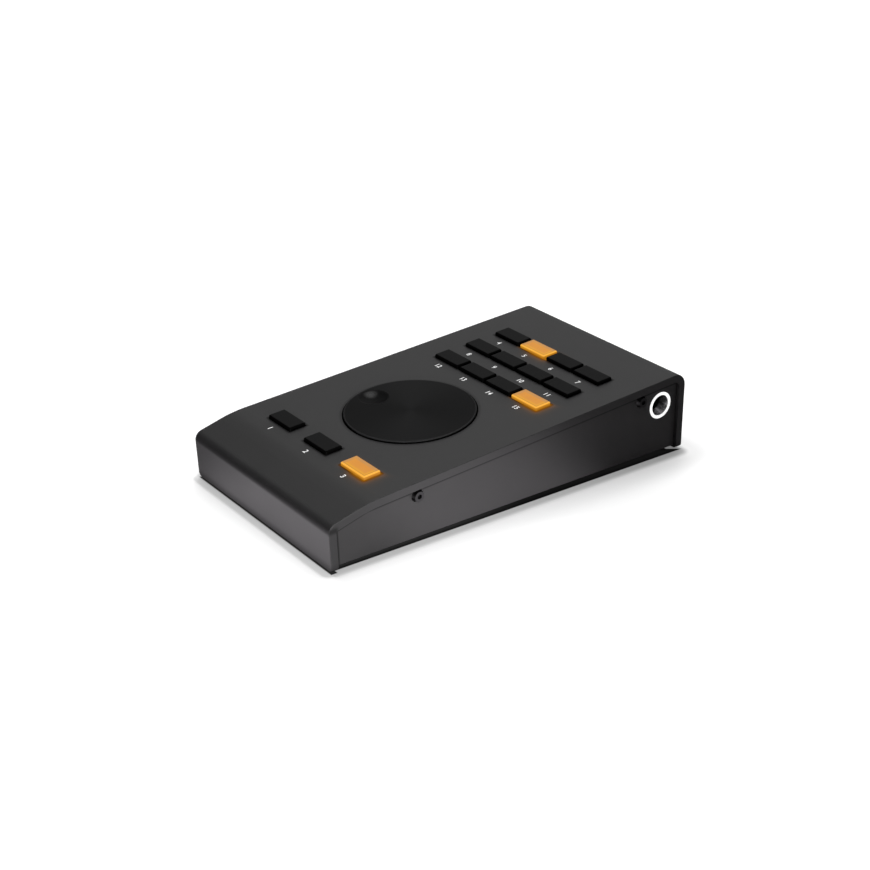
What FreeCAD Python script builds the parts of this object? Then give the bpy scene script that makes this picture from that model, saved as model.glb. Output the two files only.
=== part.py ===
"""Desktop remote control with one big wheel, three front keys and three rows of four rear keys.

A thick plate bent into a front wall, a ramp, a sloping deck and a rear wall covers a folded tray.
Millimetres; X to the right, Y to the rear, Z up. The origin is on the floor, under the middle of the case.
A deck place is (u, v, n): u along X, v up the slope of the deck, n out of the deck's top face.
"""
import FreeCAD, Part
import os
import Sketcher

Vector = FreeCAD.Vector
Rotation = FreeCAD.Rotation
Placement = FreeCAD.Placement

SIZES = [
    # Case
    ("cover_width", 102.0, "width of the bent cover plate"),
    ("front_reach", 94.2, "front wall ahead of the origin, level with the tray's underside"),
    ("rear_reach", 95.7, "rear wall behind the origin, level with the tray's underside"),
    ("deck_height", 31.6, "top face of the deck above the floor, over the origin"),
    ("deck_slope", 4.0, "degrees that the deck rises towards the rear"),
    ("ramp_slope", 15.5, "degrees that the ramp behind the front wall rises"),
    ("ramp_run", 17.42, "front wall's reach to where the ramp meets the deck, level"),
    ("front_lean", 3.4, "degrees that the front wall leans forward"),
    ("rear_lean", 2.0, "degrees that the rear wall leans forward"),
    ("plate", 3.5, "thickness of the cover plate"),
    ("front_bend", 4.0, "outer radius between the front wall and the ramp"),
    ("ramp_bend", 60.0, "outer radius between the ramp and the deck"),
    ("rear_bend", 6.1, "outer radius between the deck and the rear wall"),
    ("foot_corner", 1.6, "radius of the lower corners of both walls"),
    ("edge_break", 0.3, "round on the cover's outer side edges"),
    ("floor_gap", 2.0, "height of the rubber feet under the tray"),
    ("wall_gap", 1.0, "feet of the front and rear walls above the floor"),
    # Tray
    ("panel_recess", 1.6, "tray sides set in from the cover's side edges"),
    ("groove", 0.3, "groove between the tray and the cover plate"),
    ("tray_sheet", 1.5, "thickness of the tray"),
    ("tray_bend", 0.5, "outer radius of the tray's lower long edges"),
    ("foot_diameter", 12.0, "rubber foot"),
    ("foot_side_inset", 15.0, "feet from the cover's side edges"),
    ("foot_inset", 16.0, "rubber feet from the reach of the front and rear walls"),
    # Wheel
    ("wheel_diameter", 57.2, "wheel"),
    ("wheel_v", -19.0, "wheel's axis on the deck"),
    ("wheel_gap", 0.6, "gap all round the wheel"),
    ("wheel_rise", 0.8, "wheel's face above the deck"),
    ("wheel_depth", 8.0, "height of the wheel's rim"),
    ("wheel_rim", 3.0, "thickness of the rim"),
    ("wheel_skin", 2.2, "thickness of the wheel's face"),
    ("wheel_round", 0.4, "round on the wheel's top edge"),
    ("hub_diameter", 14.0, "wheel's hub"),
    ("hub_rise", 1.5, "hub's lower end above the rim's"),
    ("dimple_diameter", 13.6, "mouth of the finger dimple"),
    ("dimple_depth", 1.5, "depth of the finger dimple"),
    ("dimple_reach", 20.6, "dimple from the wheel's axis"),
    ("dimple_turn", 193.5, "degrees from the right to the dimple"),
    ("insert_diameter", 10.0, "metal insert in the hub"),
    ("shaft_diameter", 6.0, "encoder shaft"),
    ("shaft_flat", 1.5, "depth of the flat on the shaft"),
    ("shaft_end_gap", 0.4, "end of the shaft to the end of the insert's hole"),
    ("run_gap", 0.05, "clearance all round a shaft or plunger in its hole"),
    ("seat_gap", 0.02, "clearance all round a pressed insert"),
    # Keys
    ("cap_width", 16.6, "key cap, sideways"),
    ("cap_depth", 8.3, "key cap, along the deck"),
    ("cap_rise", 1.5, "cap's face above the deck"),
    ("cap_chamfer", 0.45, "chamfer round the cap's face"),
    ("cap_corner", 0.2, "radius of the face's corners, inside the chamfer"),
    ("cap_wall", 1.2, "wall of the cap"),
    ("cap_roof", 1.4, "roof of the cap"),
    ("cap_gap", 0.2, "gap between a cap and the edge of its opening"),
    ("ledge", 1.0, "ledges that keep a cap in, width and thickness"),
    ("ledge_gap", 0.3, "ledge to the underside of the plate"),
    ("column_pitch", 18.1, "rear keys, sideways"),
    ("row_pitch", 17.65, "rear rows, along the deck"),
    ("rear_row_inset", 34.95, "rearmost row ahead of the rear wall's reach, along the deck"),
    ("front_pitch", 27.15, "front keys, sideways"),
    ("front_row_inset", 30.4, "front row behind the front wall's reach, along the deck"),
    ("key_travel", 0.5, "stroke of a key"),
    ("stem_side", 3.2, "square stem under a cap"),
    # Switches and lamps
    ("switch_side", 6.2, "switch housing, square"),
    ("switch_height", 4.0, "switch housing above the board"),
    ("plunger_diameter", 3.4, "switch plunger"),
    ("plunger_rise", 2.0, "plunger above its housing"),
    ("plunger_reach", 1.2, "plunger inside its housing"),
    ("lamp_diameter", 3.0, "lamp beside each switch"),
    ("lamp_height", 6.0, "straight part of a lamp"),
    ("lamp_offset", 5.4, "lamp from the middle of its switch"),
    # Board
    ("board_drop", 16.0, "top of the board under the deck's top face"),
    ("board_thickness", 1.6, "circuit board"),
    ("board_side_gap", 3.9, "board to the inside of the tray's sides"),
    ("board_front_gap", 12.0, "board to the front wall"),
    ("board_rear_gap", 3.2, "board to the rear wall"),
    ("pillar_flats", 5.5, "hexagon pillar across its flats"),
    ("pillar_side_inset", 4.0, "pillars from the board's side edges"),
    ("pillar_front_inset", 11.2, "front pair of pillars behind the board's front edge"),
    ("pillar_middle_v", 4.0, "middle pair of pillars on the deck"),
    ("pillar_rear_inset", 37.0, "rear pair of pillars ahead of the board's rear edge"),
    ("board_screw_head", 5.5, "head of a board screw"),
    ("board_screw_rise", 1.8, "height of that head"),
    ("board_screw_grip", 5.0, "board screw inside its pillar"),
    # Side screws and their blocks
    ("screw_diameter", 3.0, "thread of every screw"),
    ("screw_gap", 0.2, "clearance all round a screw in a plain hole"),
    ("side_screw_head", 5.7, "button head of a side screw, where it sits on the tray"),
    ("side_screw_face", 4.5, "flat end of that head"),
    ("side_screw_rise", 1.65, "height of that head"),
    ("side_screw_socket", 2.0, "hexagon socket across its flats"),
    ("side_screw_socket_depth", 1.0, "depth of the socket"),
    ("side_screw_length", 8.0, "side screw under its head"),
    ("screw_drop", 6.8, "side screws under the deck's top face"),
    ("screw_front_inset", 41.8, "front side screws behind the front wall's reach, along the deck"),
    ("screw_jack_gap", 11.6, "rear side screws ahead of the jack's axis, along the deck"),
    ("block_reach", 10.0, "fixing block, from the tray's side inwards"),
    ("block_length", 8.0, "fixing block, along the deck"),
    ("block_height", 7.5, "fixing block under the plate"),
    # Jack in the right side
    ("jack_setback", 14.8, "jack's axis ahead of the rear wall's reach, along the deck"),
    ("jack_drop", 12.55, "jack's axis under the deck's top face"),
    ("jack_bore", 6.4, "bore for the plug"),
    ("jack_mouth", 9.3, "mouth of the lead-in"),
    ("jack_lead", 3.6, "length of the lead-in"),
    ("jack_sleeve_diameter", 9.6, "metal sleeve"),
    ("jack_sleeve_length", 8.0, "length of the sleeve"),
    ("jack_sleeve_inset", 0.3, "sleeve's mouth behind the ring's face"),
    ("ring_diameter", 12.4, "ring nut"),
    ("ring_rise", 0.2, "ring nut's face outside the tray's side"),
    ("ring_gap", 0.05, "clearance between the sleeve and what is round it"),
    ("jack_body_side", 14.0, "square body of the jack"),
    ("jack_body_length", 22.0, "length of the body"),
    ("jack_cavity", 7.2, "hole for the plug in the body"),
    ("jack_end_wall", 2.0, "closed end of the body"),
    ("tag_width", 2.0, "solder tag"),
    ("tag_thickness", 0.8, "thickness of a tag"),
    ("tag_reach", 2.4, "tag from the end of the body"),
    ("tag_pitch", 4.2, "between tags"),
    ("notch_gap", 0.6, "board's notch round the jack"),
    # Data inlet in the rear wall
    ("inlet_width", 9.0, "shell of the inlet"),
    ("inlet_height", 3.3, "height of the shell"),
    ("inlet_length", 7.4, "length of the shell"),
    ("inlet_wall", 0.3, "metal of the shell"),
    ("inlet_back", 0.8, "closed back of the shell"),
    ("inlet_overhang", 1.0, "shell's mouth behind the board's edge"),
    ("tongue_width", 6.7, "contact tongue"),
    ("tongue_thickness", 0.7, "thickness of the tongue"),
    ("tongue_length", 5.0, "length of the tongue"),
    ("port_width", 13.0, "opening in the rear wall"),
    ("port_height", 7.5, "height of that opening"),
    # Encoder
    ("encoder_width", 13.2, "encoder body, sideways"),
    ("encoder_depth", 12.2, "encoder body, along the deck"),
    ("encoder_height", 5.2, "height of the encoder body"),
    ("encoder_plate", 0.8, "plate on the encoder body"),
    ("encoder_collar", 7.0, "collar round the shaft"),
    ("encoder_collar_height", 4.0, "collar above its plate"),
    ("shaft_foot", 2.6, "shaft inside the encoder body"),
    ("shaft_foot_gap", 0.2, "under the foot of the shaft"),
    # Chips
    ("chip_side", 10.0, "main chip, square"),
    ("chip_height", 1.4, "height of the chips"),
    ("chip_v", -40.0, "main chip on the deck"),
    ("driver_width", 5.3, "lamp driver"),
    ("driver_length", 8.0, "length of the lamp driver"),
    ("driver_u", 22.0, "lamp driver and regulator from the middle"),
    ("regulator_side", 6.5, "voltage regulator, square"),
    ("regulator_inset", 10.0, "regulator ahead of the board's rear edge"),
]

doc = FreeCAD.newDocument("remote_control")
sheet = doc.addObject("Spreadsheet::Sheet", "sizes")
parts = []


def fill_sheet():
    """Writes every driving size into the sheet under its own name."""
    for row, (alias, value, meaning) in enumerate(SIZES, 1):
        sheet.set("A%d" % row, alias)
        sheet.set("B%d" % row, str(value))
        sheet.set("C%d" % row, meaning)
        sheet.setAlias("B%d" % row, alias)
    doc.recompute()


def value_of(expression):
    """The number that an expression on the sheet gives now."""
    return float(sheet.evalExpression(expression))


def add(kind, name, **bound):
    """A new object with properties bound to expressions on the sheet."""
    item = doc.addObject(kind, name)
    item.Label = name
    bind(item, **bound)
    return item


def bind(item, **bound):
    """Binds properties of an object to expressions on the sheet."""
    for prop, expression in bound.items():
        item.setExpression(prop, expression)


def deck_y(v, n):
    """Y of a place on the deck, as an expression."""
    return "((%s) * cos(sizes.deck_slope) - (%s) * sin(sizes.deck_slope))" % (v, n)


def deck_z(v, n):
    """Z of a place on the deck, as an expression."""
    return "(sizes.deck_height + (%s) * sin(sizes.deck_slope) + (%s) * cos(sizes.deck_slope))" % (v, n)


def place(item, x, y, z):
    """Binds an object's place, keeping how it is turned."""
    for axis, expression in (("x", x), ("y", y), ("z", z)):
        item.setExpression("Placement.Base." + axis, expression)


def place_on_deck(item, u, v, n):
    """Stands an object on the deck: its own Z is the deck's outward direction."""
    item.Placement = Placement(Vector(), Rotation(Vector(1, 0, 0), 1))
    item.setExpression("Placement.Rotation.Angle", "sizes.deck_slope")
    place(item, u, deck_y(v, n), deck_z(v, n))


def place_through_side(item, side, x, v, n):
    """Lays an object along X at a place on the deck, its own Z pointing out of that side."""
    item.Placement = Placement(Vector(), Rotation(Vector(0, 1, 0), 90 * side))
    place(item, "%d * (%s)" % (side, x), deck_y(v, n), deck_z(v, n))


def keep(item, label):
    """Marks an object as one of the sub-parts, under its own name."""
    item.Label = label
    parts.append(item)
    return item


def block(name, length, width, height):
    """A box centred on its own X and Y, standing on its own Z."""
    box = add("Part::Box", name, Length=length, Width=width, Height=height)
    shift = add("Part::Compound", name + "_centred")
    shift.Links = [box]
    place(box, "-(%s) / 2" % length, "-(%s) / 2" % width, "0")
    return shift


def raised(item, z):
    """Lifts a local object to the expression z."""
    item.setExpression("Placement.Base.z", z)
    return item


def round_bar(name, diameter, height, z="0"):
    """A cylinder on its own Z, from z upwards."""
    return raised(add("Part::Cylinder", name, Radius="(%s) / 2" % diameter, Height=height), z)


def cut(name, base, tool):
    """One object less another."""
    item = add("Part::Cut", name)
    item.Base = base
    item.Tool = tool
    return item


def fuse(name, *pieces):
    """Several touching objects as one solid."""
    item = add("Part::MultiFuse", name)
    item.Shapes = list(pieces)
    return item


def group(label, members):
    """Like pieces that share one node, each a solid of its own."""
    item = add("Part::Compound", label)
    item.Links = members
    return keep(item, label)


def origin_plane(body, role):
    """One of a body's own origin planes."""
    return [plane for plane in body.Origin.OriginFeatures if plane.Role == role][0]


def sketch(body, name, role="XY_Plane", height=None, slope=False):
    """A sketch on a body's own origin plane, lifted by an expression, and tilted with the deck if slope is set."""
    item = body.newObject("Sketcher::SketchObject", name)
    item.AttachmentSupport = [(origin_plane(body, role), "")]
    item.MapMode = "FlatFace"
    if slope:
        item.AttachmentOffset = Placement(Vector(), Rotation(Vector(1, 0, 0), 1))
        item.setExpression("AttachmentOffset.Rotation.Angle", "sizes.deck_slope")
    if height:
        item.setExpression("AttachmentOffset.Base.z", height)
    return item


def fix_point(item, curve, point, x, y):
    """Ties a point of a sketch's curve to two expressions."""
    for kind, expression in (("DistanceX", x), ("DistanceY", y)):
        number = item.addConstraint(Sketcher.Constraint(kind, -1, 1, curve, point, value_of(expression)))
        item.setExpression("Constraints[%d]" % number, expression)


def polygon(item, corners):
    """A closed outline of straight lines, each corner tied to two expressions."""
    points = [Vector(value_of(x), value_of(y), 0) for x, y in corners]
    first = item.GeometryCount
    count = len(points)
    for number, point in enumerate(points):
        item.addGeometry(Part.LineSegment(point, points[(number + 1) % count]), False)
    for number in range(count):
        item.addConstraint(Sketcher.Constraint("Coincident", first + number, 2, first + (number + 1) % count, 1))
    for number, (x, y) in enumerate(corners):
        fix_point(item, first + number, 1, x, y)


def rectangle(item, x, y, width, depth):
    """A rectangle about a centre."""
    signs = ((-1, -1), (1, -1), (1, 1), (-1, 1))
    polygon(item, [("%s + %d * (%s) / 2" % (x, sx, width), "%s + %d * (%s) / 2" % (y, sy, depth))
                   for sx, sy in signs])


def circle(item, x, y, diameter):
    """A circle about a centre."""
    centre = Vector(value_of(x), value_of(y), 0)
    curve = item.addGeometry(Part.Circle(centre, Vector(0, 0, 1), value_of(diameter) / 2), False)
    fix_point(item, curve, 3, x, y)
    number = item.addConstraint(Sketcher.Constraint("Diameter", curve, value_of(diameter)))
    item.setExpression("Constraints[%d]" % number, diameter)


def feature(body, kind, name, profile, length, reverse=False, both_ways=False):
    """A pad or a pocket of a sketch, with its direction proved by the volume."""
    before = body.Shape.Volume if body.Tip else 0.0
    item = body.newObject("PartDesign::" + kind, name)
    item.Profile = profile
    item.Reversed = reverse
    item.Midplane = both_ways
    item.setExpression("Length", length)
    doc.recompute()
    grown = body.Shape.Volume - before
    if grown * (1 if kind == "Pad" else -1) <= 0:
        raise RuntimeError("%s of %s changes nothing" % (name, body.Label))
    return item


def soften(body, kind, name, edges, size):
    """A fillet or a chamfer on the edges of the body's last feature that a test picks."""
    base = body.Tip
    picked = ["Edge%d" % number for number, edge in enumerate(base.Shape.Edges, 1) if edges(edge)]
    if not picked:
        raise RuntimeError("%s of %s finds no edge" % (name, body.Label))
    item = body.newObject("PartDesign::" + kind, name)
    item.Base = (base, picked)
    item.setExpression("Radius" if kind == "Fillet" else "Size", size)
    doc.recompute()
    return item


def is_near(first, second):
    """Whether two lengths are the same for picking an edge."""
    return abs(first - second) < 0.01


def ramp_end_y():
    """Y of the line where the ramp meets the deck."""
    return "(sizes.ramp_run - sizes.front_reach)"


def ramp_end_z():
    """Z of the line where the ramp meets the deck."""
    return "(sizes.deck_height + %s * tan(sizes.deck_slope))" % ramp_end_y()


def case_lines(inset, foot):
    """The case's outline as lines, each the angle of its outward normal and its distance from the origin.

    The lines move inwards by inset, and the lower one lies at the height foot.
    """
    front = ("(180 + sizes.front_lean)",
             "(sizes.front_reach * cos(sizes.front_lean) - sizes.floor_gap * sin(sizes.front_lean) - %s)" % inset)
    ramp = ("(90 + sizes.ramp_slope)",
            "(%s * cos(sizes.ramp_slope) - %s * sin(sizes.ramp_slope) - %s)" % (ramp_end_z(), ramp_end_y(), inset))
    deck = ("(90 + sizes.deck_slope)",
            "(sizes.deck_height * cos(sizes.deck_slope) - %s)" % inset)
    rear = ("sizes.rear_lean",
            "(sizes.rear_reach * cos(sizes.rear_lean) + sizes.floor_gap * sin(sizes.rear_lean) - %s)" % inset)
    floor = ("270", "(0 - (%s))" % foot)
    return [floor, front, ramp, deck, rear]


def meet(one, other):
    """The corner where two such lines meet, as two expressions."""
    (angle_1, reach_1), (angle_2, reach_2) = one, other
    turn = "sin(%s - %s)" % (angle_2, angle_1)
    y = "(%s * sin(%s) - %s * sin(%s)) / %s" % (reach_1, angle_2, reach_2, angle_1, turn)
    z = "(%s * cos(%s) - %s * cos(%s)) / %s" % (reach_2, angle_1, reach_1, angle_2, turn)
    return y, z


def case_corners(inset, foot):
    """The outline's corners: front foot, front top, ramp top, rear top, rear foot."""
    floor, front, ramp, deck, rear = case_lines(inset, foot)
    return [meet(floor, front), meet(front, ramp), meet(ramp, deck), meet(deck, rear), meet(rear, floor)]


def round_bends(body, name, corners, inset):
    """Rounds the three bends of an outline that lies inset from the cover's outside."""
    for bend, (y, z) in zip(("front_bend", "ramp_bend", "rear_bend"), corners[1:4]):
        place_y, place_z = value_of(y), value_of(z)

        def on_bend(edge):
            middle = edge.CenterOfMass
            along = abs(edge.tangentAt(edge.FirstParameter).x) > 0.999
            return along and is_near(middle.y, place_y) and is_near(middle.z, place_z)

        radius = "max(sizes.%s - (%s); sizes.edge_break / 2)" % (bend, inset)
        soften(body, "Fillet", name + "_" + bend, on_bend, radius)


def rear_row_v(row):
    """V of a rear row, counted from the rearmost."""
    return "(sizes.rear_reach - sizes.rear_row_inset - %d * sizes.row_pitch)" % row


def front_row_v():
    """V of the front row."""
    return "(sizes.front_row_inset - sizes.front_reach)"


def key_places():
    """Every key as its name and its place on the deck."""
    keys = [("front_%d" % (column + 1), "%d * sizes.front_pitch" % (column - 1), front_row_v())
            for column in range(3)]
    for row in range(3):
        for column in range(4):
            name = "rear_%d_%d" % (row + 1, column + 1)
            keys.append((name, "%.1f * sizes.column_pitch" % (column - 1.5), rear_row_v(row)))
    return keys


def inlet_mouth_v():
    """V of the data inlet's mouth."""
    return "sizes.rear_reach - sizes.plate - sizes.board_rear_gap + sizes.inlet_overhang"


def make_top_cover():
    """The bent plate: front wall, ramp, deck and rear wall, with the openings for the keys and the wheel."""
    body = add("PartDesign::Body", "top_cover")
    outer = case_corners("0", "sizes.wall_gap")
    profile = sketch(body, "cover_outline", "YZ_Plane")
    polygon(profile, outer)
    feature(body, "Pad", "cover_block", profile, "sizes.cover_width", both_ways=True)
    round_bends(body, "outer", outer, "0")
    half_width = value_of("sizes.cover_width / 2")
    foot = value_of("sizes.wall_gap")

    def lower_side(edge):
        middle = edge.CenterOfMass
        return is_near(abs(middle.x), half_width) and is_near(middle.z, foot)

    soften(body, "Fillet", "cover_feet", lower_side, "sizes.foot_corner")
    corner = value_of("sizes.wall_gap + sizes.foot_corner")

    def upper_side(edge):
        ends = edge.Vertexes
        on_side = all(is_near(abs(vertex.X), half_width) for vertex in ends)
        return on_side and max(vertex.Z for vertex in ends) > corner + 0.01

    soften(body, "Fillet", "cover_edges", upper_side, "sizes.edge_break")
    inner = case_corners("sizes.plate", "sizes.wall_gap - sizes.plate")
    profile = sketch(body, "cover_inside", "YZ_Plane")
    polygon(profile, inner)
    feature(body, "Pocket", "cover_hollow", profile, "sizes.cover_width + 2 * sizes.plate", both_ways=True)
    round_bends(body, "inner", inner, "sizes.plate")
    openings = sketch(body, "deck_openings", height="sizes.deck_height", slope=True)
    along = "sizes.cap_depth + 2 * sizes.cap_gap"
    circle(openings, "0", "sizes.wheel_v", "sizes.wheel_diameter + 2 * sizes.wheel_gap")
    for row in range(3):
        across = "3 * sizes.column_pitch + sizes.cap_width + 2 * sizes.cap_gap"
        rectangle(openings, "0", rear_row_v(row), across, along)
    for column in range(3):
        across = "sizes.cap_width + 2 * sizes.cap_gap"
        rectangle(openings, "%d * sizes.front_pitch" % (column - 1), front_row_v(), across, along)
    feature(body, "Pocket", "key_and_wheel_openings", openings, "2 * sizes.plate")
    port = sketch(body, "port_outline", "XZ_Plane", height="-sizes.rear_reach")
    inlet_middle = deck_z(inlet_mouth_v(), "sizes.inlet_height / 2 - sizes.board_drop")
    rectangle(port, "0", inlet_middle, "sizes.port_width", "sizes.port_height")
    feature(body, "Pocket", "rear_port", port, "4 * sizes.plate", both_ways=True)
    return keep(body, "top_cover")


def tray_side():
    """X of the outside of the tray's right wall."""
    return "(sizes.cover_width / 2 - sizes.panel_recess)"


def tray_inside():
    """X of the inside of the tray's right wall."""
    return "(sizes.cover_width / 2 - sizes.panel_recess - sizes.tray_sheet)"


def jack_v():
    """V of the jack's axis."""
    return "(sizes.rear_reach - sizes.jack_setback)"


def side_screw_v():
    """V of the front side screws and of the rear ones."""
    return {"front": "(sizes.screw_front_inset - sizes.front_reach)",
            "rear": "(%s - sizes.screw_jack_gap)" % jack_v()}


def make_base_tray():
    """The folded tray: a floor and two sides, each drilled for the side screws, the right one for the jack."""
    body = add("PartDesign::Body", "base_tray")
    inset = "sizes.plate + sizes.groove"
    corners = case_corners("(%s)" % inset, "sizes.floor_gap")
    profile = sketch(body, "tray_outline", "YZ_Plane")
    polygon(profile, corners)
    feature(body, "Pad", "tray_block", profile, "2 * " + tray_side(), both_ways=True)
    round_bends(body, "tray", corners, inset)
    side = value_of(tray_side())
    foot = value_of("sizes.floor_gap")

    def lower_side(edge):
        middle = edge.CenterOfMass
        return is_near(abs(middle.x), side) and is_near(middle.z, foot)

    soften(body, "Fillet", "tray_bends", lower_side, "sizes.tray_bend")
    hollow = sketch(body, "tray_inside", height="sizes.floor_gap + sizes.tray_sheet")
    rectangle(hollow, "0", "0", "2 * " + tray_inside(), "4 * sizes.rear_reach")
    feature(body, "Pocket", "tray_hollow", hollow, "2 * sizes.deck_height", reverse=True)
    holes = sketch(body, "screw_hole_places", "YZ_Plane")
    for v in side_screw_v().values():
        circle(holes, deck_y(v, "-sizes.screw_drop"), deck_z(v, "-sizes.screw_drop"),
               "sizes.screw_diameter + 2 * sizes.screw_gap")
    feature(body, "Pocket", "screw_holes", holes, "2 * sizes.cover_width", both_ways=True)
    hole = sketch(body, "jack_hole_place", "YZ_Plane", height=tray_inside() + " + sizes.tray_sheet / 2")
    circle(hole, deck_y(jack_v(), "-sizes.jack_drop"), deck_z(jack_v(), "-sizes.jack_drop"),
           "sizes.jack_sleeve_diameter + 2 * sizes.ring_gap")
    feature(body, "Pocket", "jack_hole", hole, "2 * sizes.tray_sheet", both_ways=True)
    return keep(body, "base_tray")


def side_places():
    """The four side screws as side, name and V on the deck."""
    return [(side, "%s_%s" % (end, name), v)
            for side, name in ((1, "right"), (-1, "left")) for end, v in side_screw_v().items()]


def make_fixing_blocks():
    """Four blocks under the plate, each tapped for a side screw."""
    blocks = []
    for side, name, v in side_places():
        body = block("block_%s" % name, "sizes.block_reach", "sizes.block_length", "sizes.block_height")
        raised(body, "-sizes.plate - sizes.block_height")
        bore = round_bar("tap_%s" % name, "sizes.screw_diameter + 2 * sizes.run_gap", "2 * sizes.block_reach")
        bore.Placement = Placement(Vector(), Rotation(Vector(0, 1, 0), 90))
        place(bore, "-sizes.block_reach", "0", "-sizes.screw_drop")
        piece = cut("fixing_block_%s" % name, body, bore)
        middle = "%d * (%s - sizes.block_reach / 2)" % (side, tray_inside())
        place_on_deck(piece, middle, v, "0")
        blocks.append(piece)
    return group("fixing_blocks", blocks)


def make_side_screws():
    """Button-head screws with hexagon sockets, two in each side."""
    screws = []
    for side, name, v in side_places():
        head = add("Part::Cone", "head_%s" % name, Radius1="sizes.side_screw_head / 2",
                   Radius2="sizes.side_screw_face / 2", Height="sizes.side_screw_rise")
        shank = round_bar("shank_%s" % name, "sizes.screw_diameter", "sizes.side_screw_length",
                          "-sizes.side_screw_length")
        whole = fuse("screw_%s" % name, head, shank)
        socket = hexagon("socket_%s" % name, "sizes.side_screw_socket", "sizes.side_screw_rise",
                         "sizes.side_screw_rise - sizes.side_screw_socket_depth")
        screw = cut("side_screw_%s" % name, whole, socket)
        place_through_side(screw, side, tray_side(), v, "-sizes.screw_drop")
        screws.append(screw)
    return group("side_screws", screws)


def hexagon(name, flats, height, z):
    """A hexagonal bar on its own Z, by its width across the flats."""
    bar = add("Part::Prism", name, Circumradius="(%s) / 2 / cos(30)" % flats, Height=height)
    bar.Polygon = 6
    return raised(bar, z)


def make_rubber_feet():
    """Four round feet stuck under the tray."""
    feet = []
    for side in (1, -1):
        for end, reach in ((-1, "sizes.front_reach"), (1, "sizes.rear_reach")):
            foot = round_bar("foot_%d_%d" % (side + 1, end + 1), "sizes.foot_diameter", "sizes.floor_gap")
            place(foot, "%d * (sizes.cover_width / 2 - sizes.foot_side_inset)" % side,
                  "%d * (%s - sizes.foot_inset)" % (end, reach), "0")
            feet.append(foot)
    return group("rubber_feet", feet)


def make_wheel():
    """The big wheel: a face, a rim and a hub turned in one piece, with a finger dimple in its face."""
    body = add("PartDesign::Body", "wheel")
    disc = sketch(body, "wheel_outline", height="sizes.wheel_rise - sizes.wheel_depth")
    circle(disc, "0", "0", "sizes.wheel_diameter")
    feature(body, "Pad", "wheel_disc", disc, "sizes.wheel_depth")
    top = value_of("sizes.wheel_rise")

    def top_edge(edge):
        return is_near(edge.BoundBox.ZMin, top) and is_near(edge.BoundBox.ZMax, top)

    soften(body, "Fillet", "wheel_edge", top_edge, "sizes.wheel_round")
    hollow = sketch(body, "wheel_hollow_outline", height="sizes.wheel_rise - sizes.wheel_depth")
    circle(hollow, "0", "0", "sizes.wheel_diameter - 2 * sizes.wheel_rim")
    circle(hollow, "0", "0", "sizes.hub_diameter")
    feature(body, "Pocket", "wheel_hollow", hollow, "sizes.wheel_depth - sizes.wheel_skin", reverse=True)
    hub_end = sketch(body, "hub_end_outline", height="sizes.wheel_rise - sizes.wheel_depth")
    circle(hub_end, "0", "0", "sizes.hub_diameter + sizes.hub_rise")
    feature(body, "Pocket", "hub_end", hub_end, "sizes.hub_rise", reverse=True)
    seat = sketch(body, "insert_seat_outline", height="sizes.wheel_rise - sizes.wheel_depth")
    circle(seat, "0", "0", "sizes.insert_diameter + 2 * sizes.seat_gap")
    feature(body, "Pocket", "insert_seat", seat, "sizes.wheel_depth - sizes.wheel_skin", reverse=True)
    dimple = body.newObject("PartDesign::SubtractiveSphere", "finger_dimple")
    dimple.AttachmentSupport = [(origin_plane(body, "XY_Plane"), "")]
    dimple.MapMode = "FlatFace"
    radius = "((pow(sizes.dimple_diameter / 2; 2) + pow(sizes.dimple_depth; 2)) / (2 * sizes.dimple_depth))"
    dimple.setExpression("Radius", radius)
    dimple.setExpression("AttachmentOffset.Base.x", "sizes.dimple_reach * cos(sizes.dimple_turn)")
    dimple.setExpression("AttachmentOffset.Base.y", "sizes.dimple_reach * sin(sizes.dimple_turn)")
    dimple.setExpression("AttachmentOffset.Base.z", "sizes.wheel_rise - sizes.dimple_depth + " + radius)
    doc.recompute()
    place_on_deck(body, "0", "sizes.wheel_v", "0")
    return keep(body, "wheel")


def wheel_underside():
    """N of the underside of the wheel's face."""
    return "(sizes.wheel_rise - sizes.wheel_skin)"


def flat_sided(name, diameter, flat, height, z):
    """A round bar with a flat along it."""
    bar = round_bar(name + "_round", diameter, height, z)
    side = block(name + "_side", diameter, diameter, height)
    place(side, "0", "(%s) - (%s)" % (diameter, flat), z)
    return cut(name, bar, side)


def make_wheel_insert():
    """The metal insert in the hub, with a hole that has a flat."""
    bottom = "(sizes.wheel_rise - sizes.wheel_depth + sizes.hub_rise)"
    height = "(%s - %s - sizes.seat_gap)" % (wheel_underside(), bottom)
    bush = round_bar("insert_bush", "sizes.insert_diameter", height, bottom)
    hole = flat_sided("insert_hole", "sizes.shaft_diameter + 2 * sizes.seat_gap",
                      "sizes.shaft_flat", height + " + 2 * sizes.hub_rise", bottom + " - sizes.hub_rise")
    insert = cut("wheel_insert_body", bush, hole)
    place_on_deck(insert, "0", "sizes.wheel_v", "0")
    return keep(insert, "wheel_insert")


def encoder_top():
    """N of the top of the encoder's plate."""
    return "(sizes.encoder_height + sizes.encoder_plate - sizes.board_drop)"


def shaft_foot_n():
    """N of the foot of the encoder's shaft."""
    return "(sizes.encoder_height - sizes.shaft_foot - sizes.board_drop)"


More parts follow.
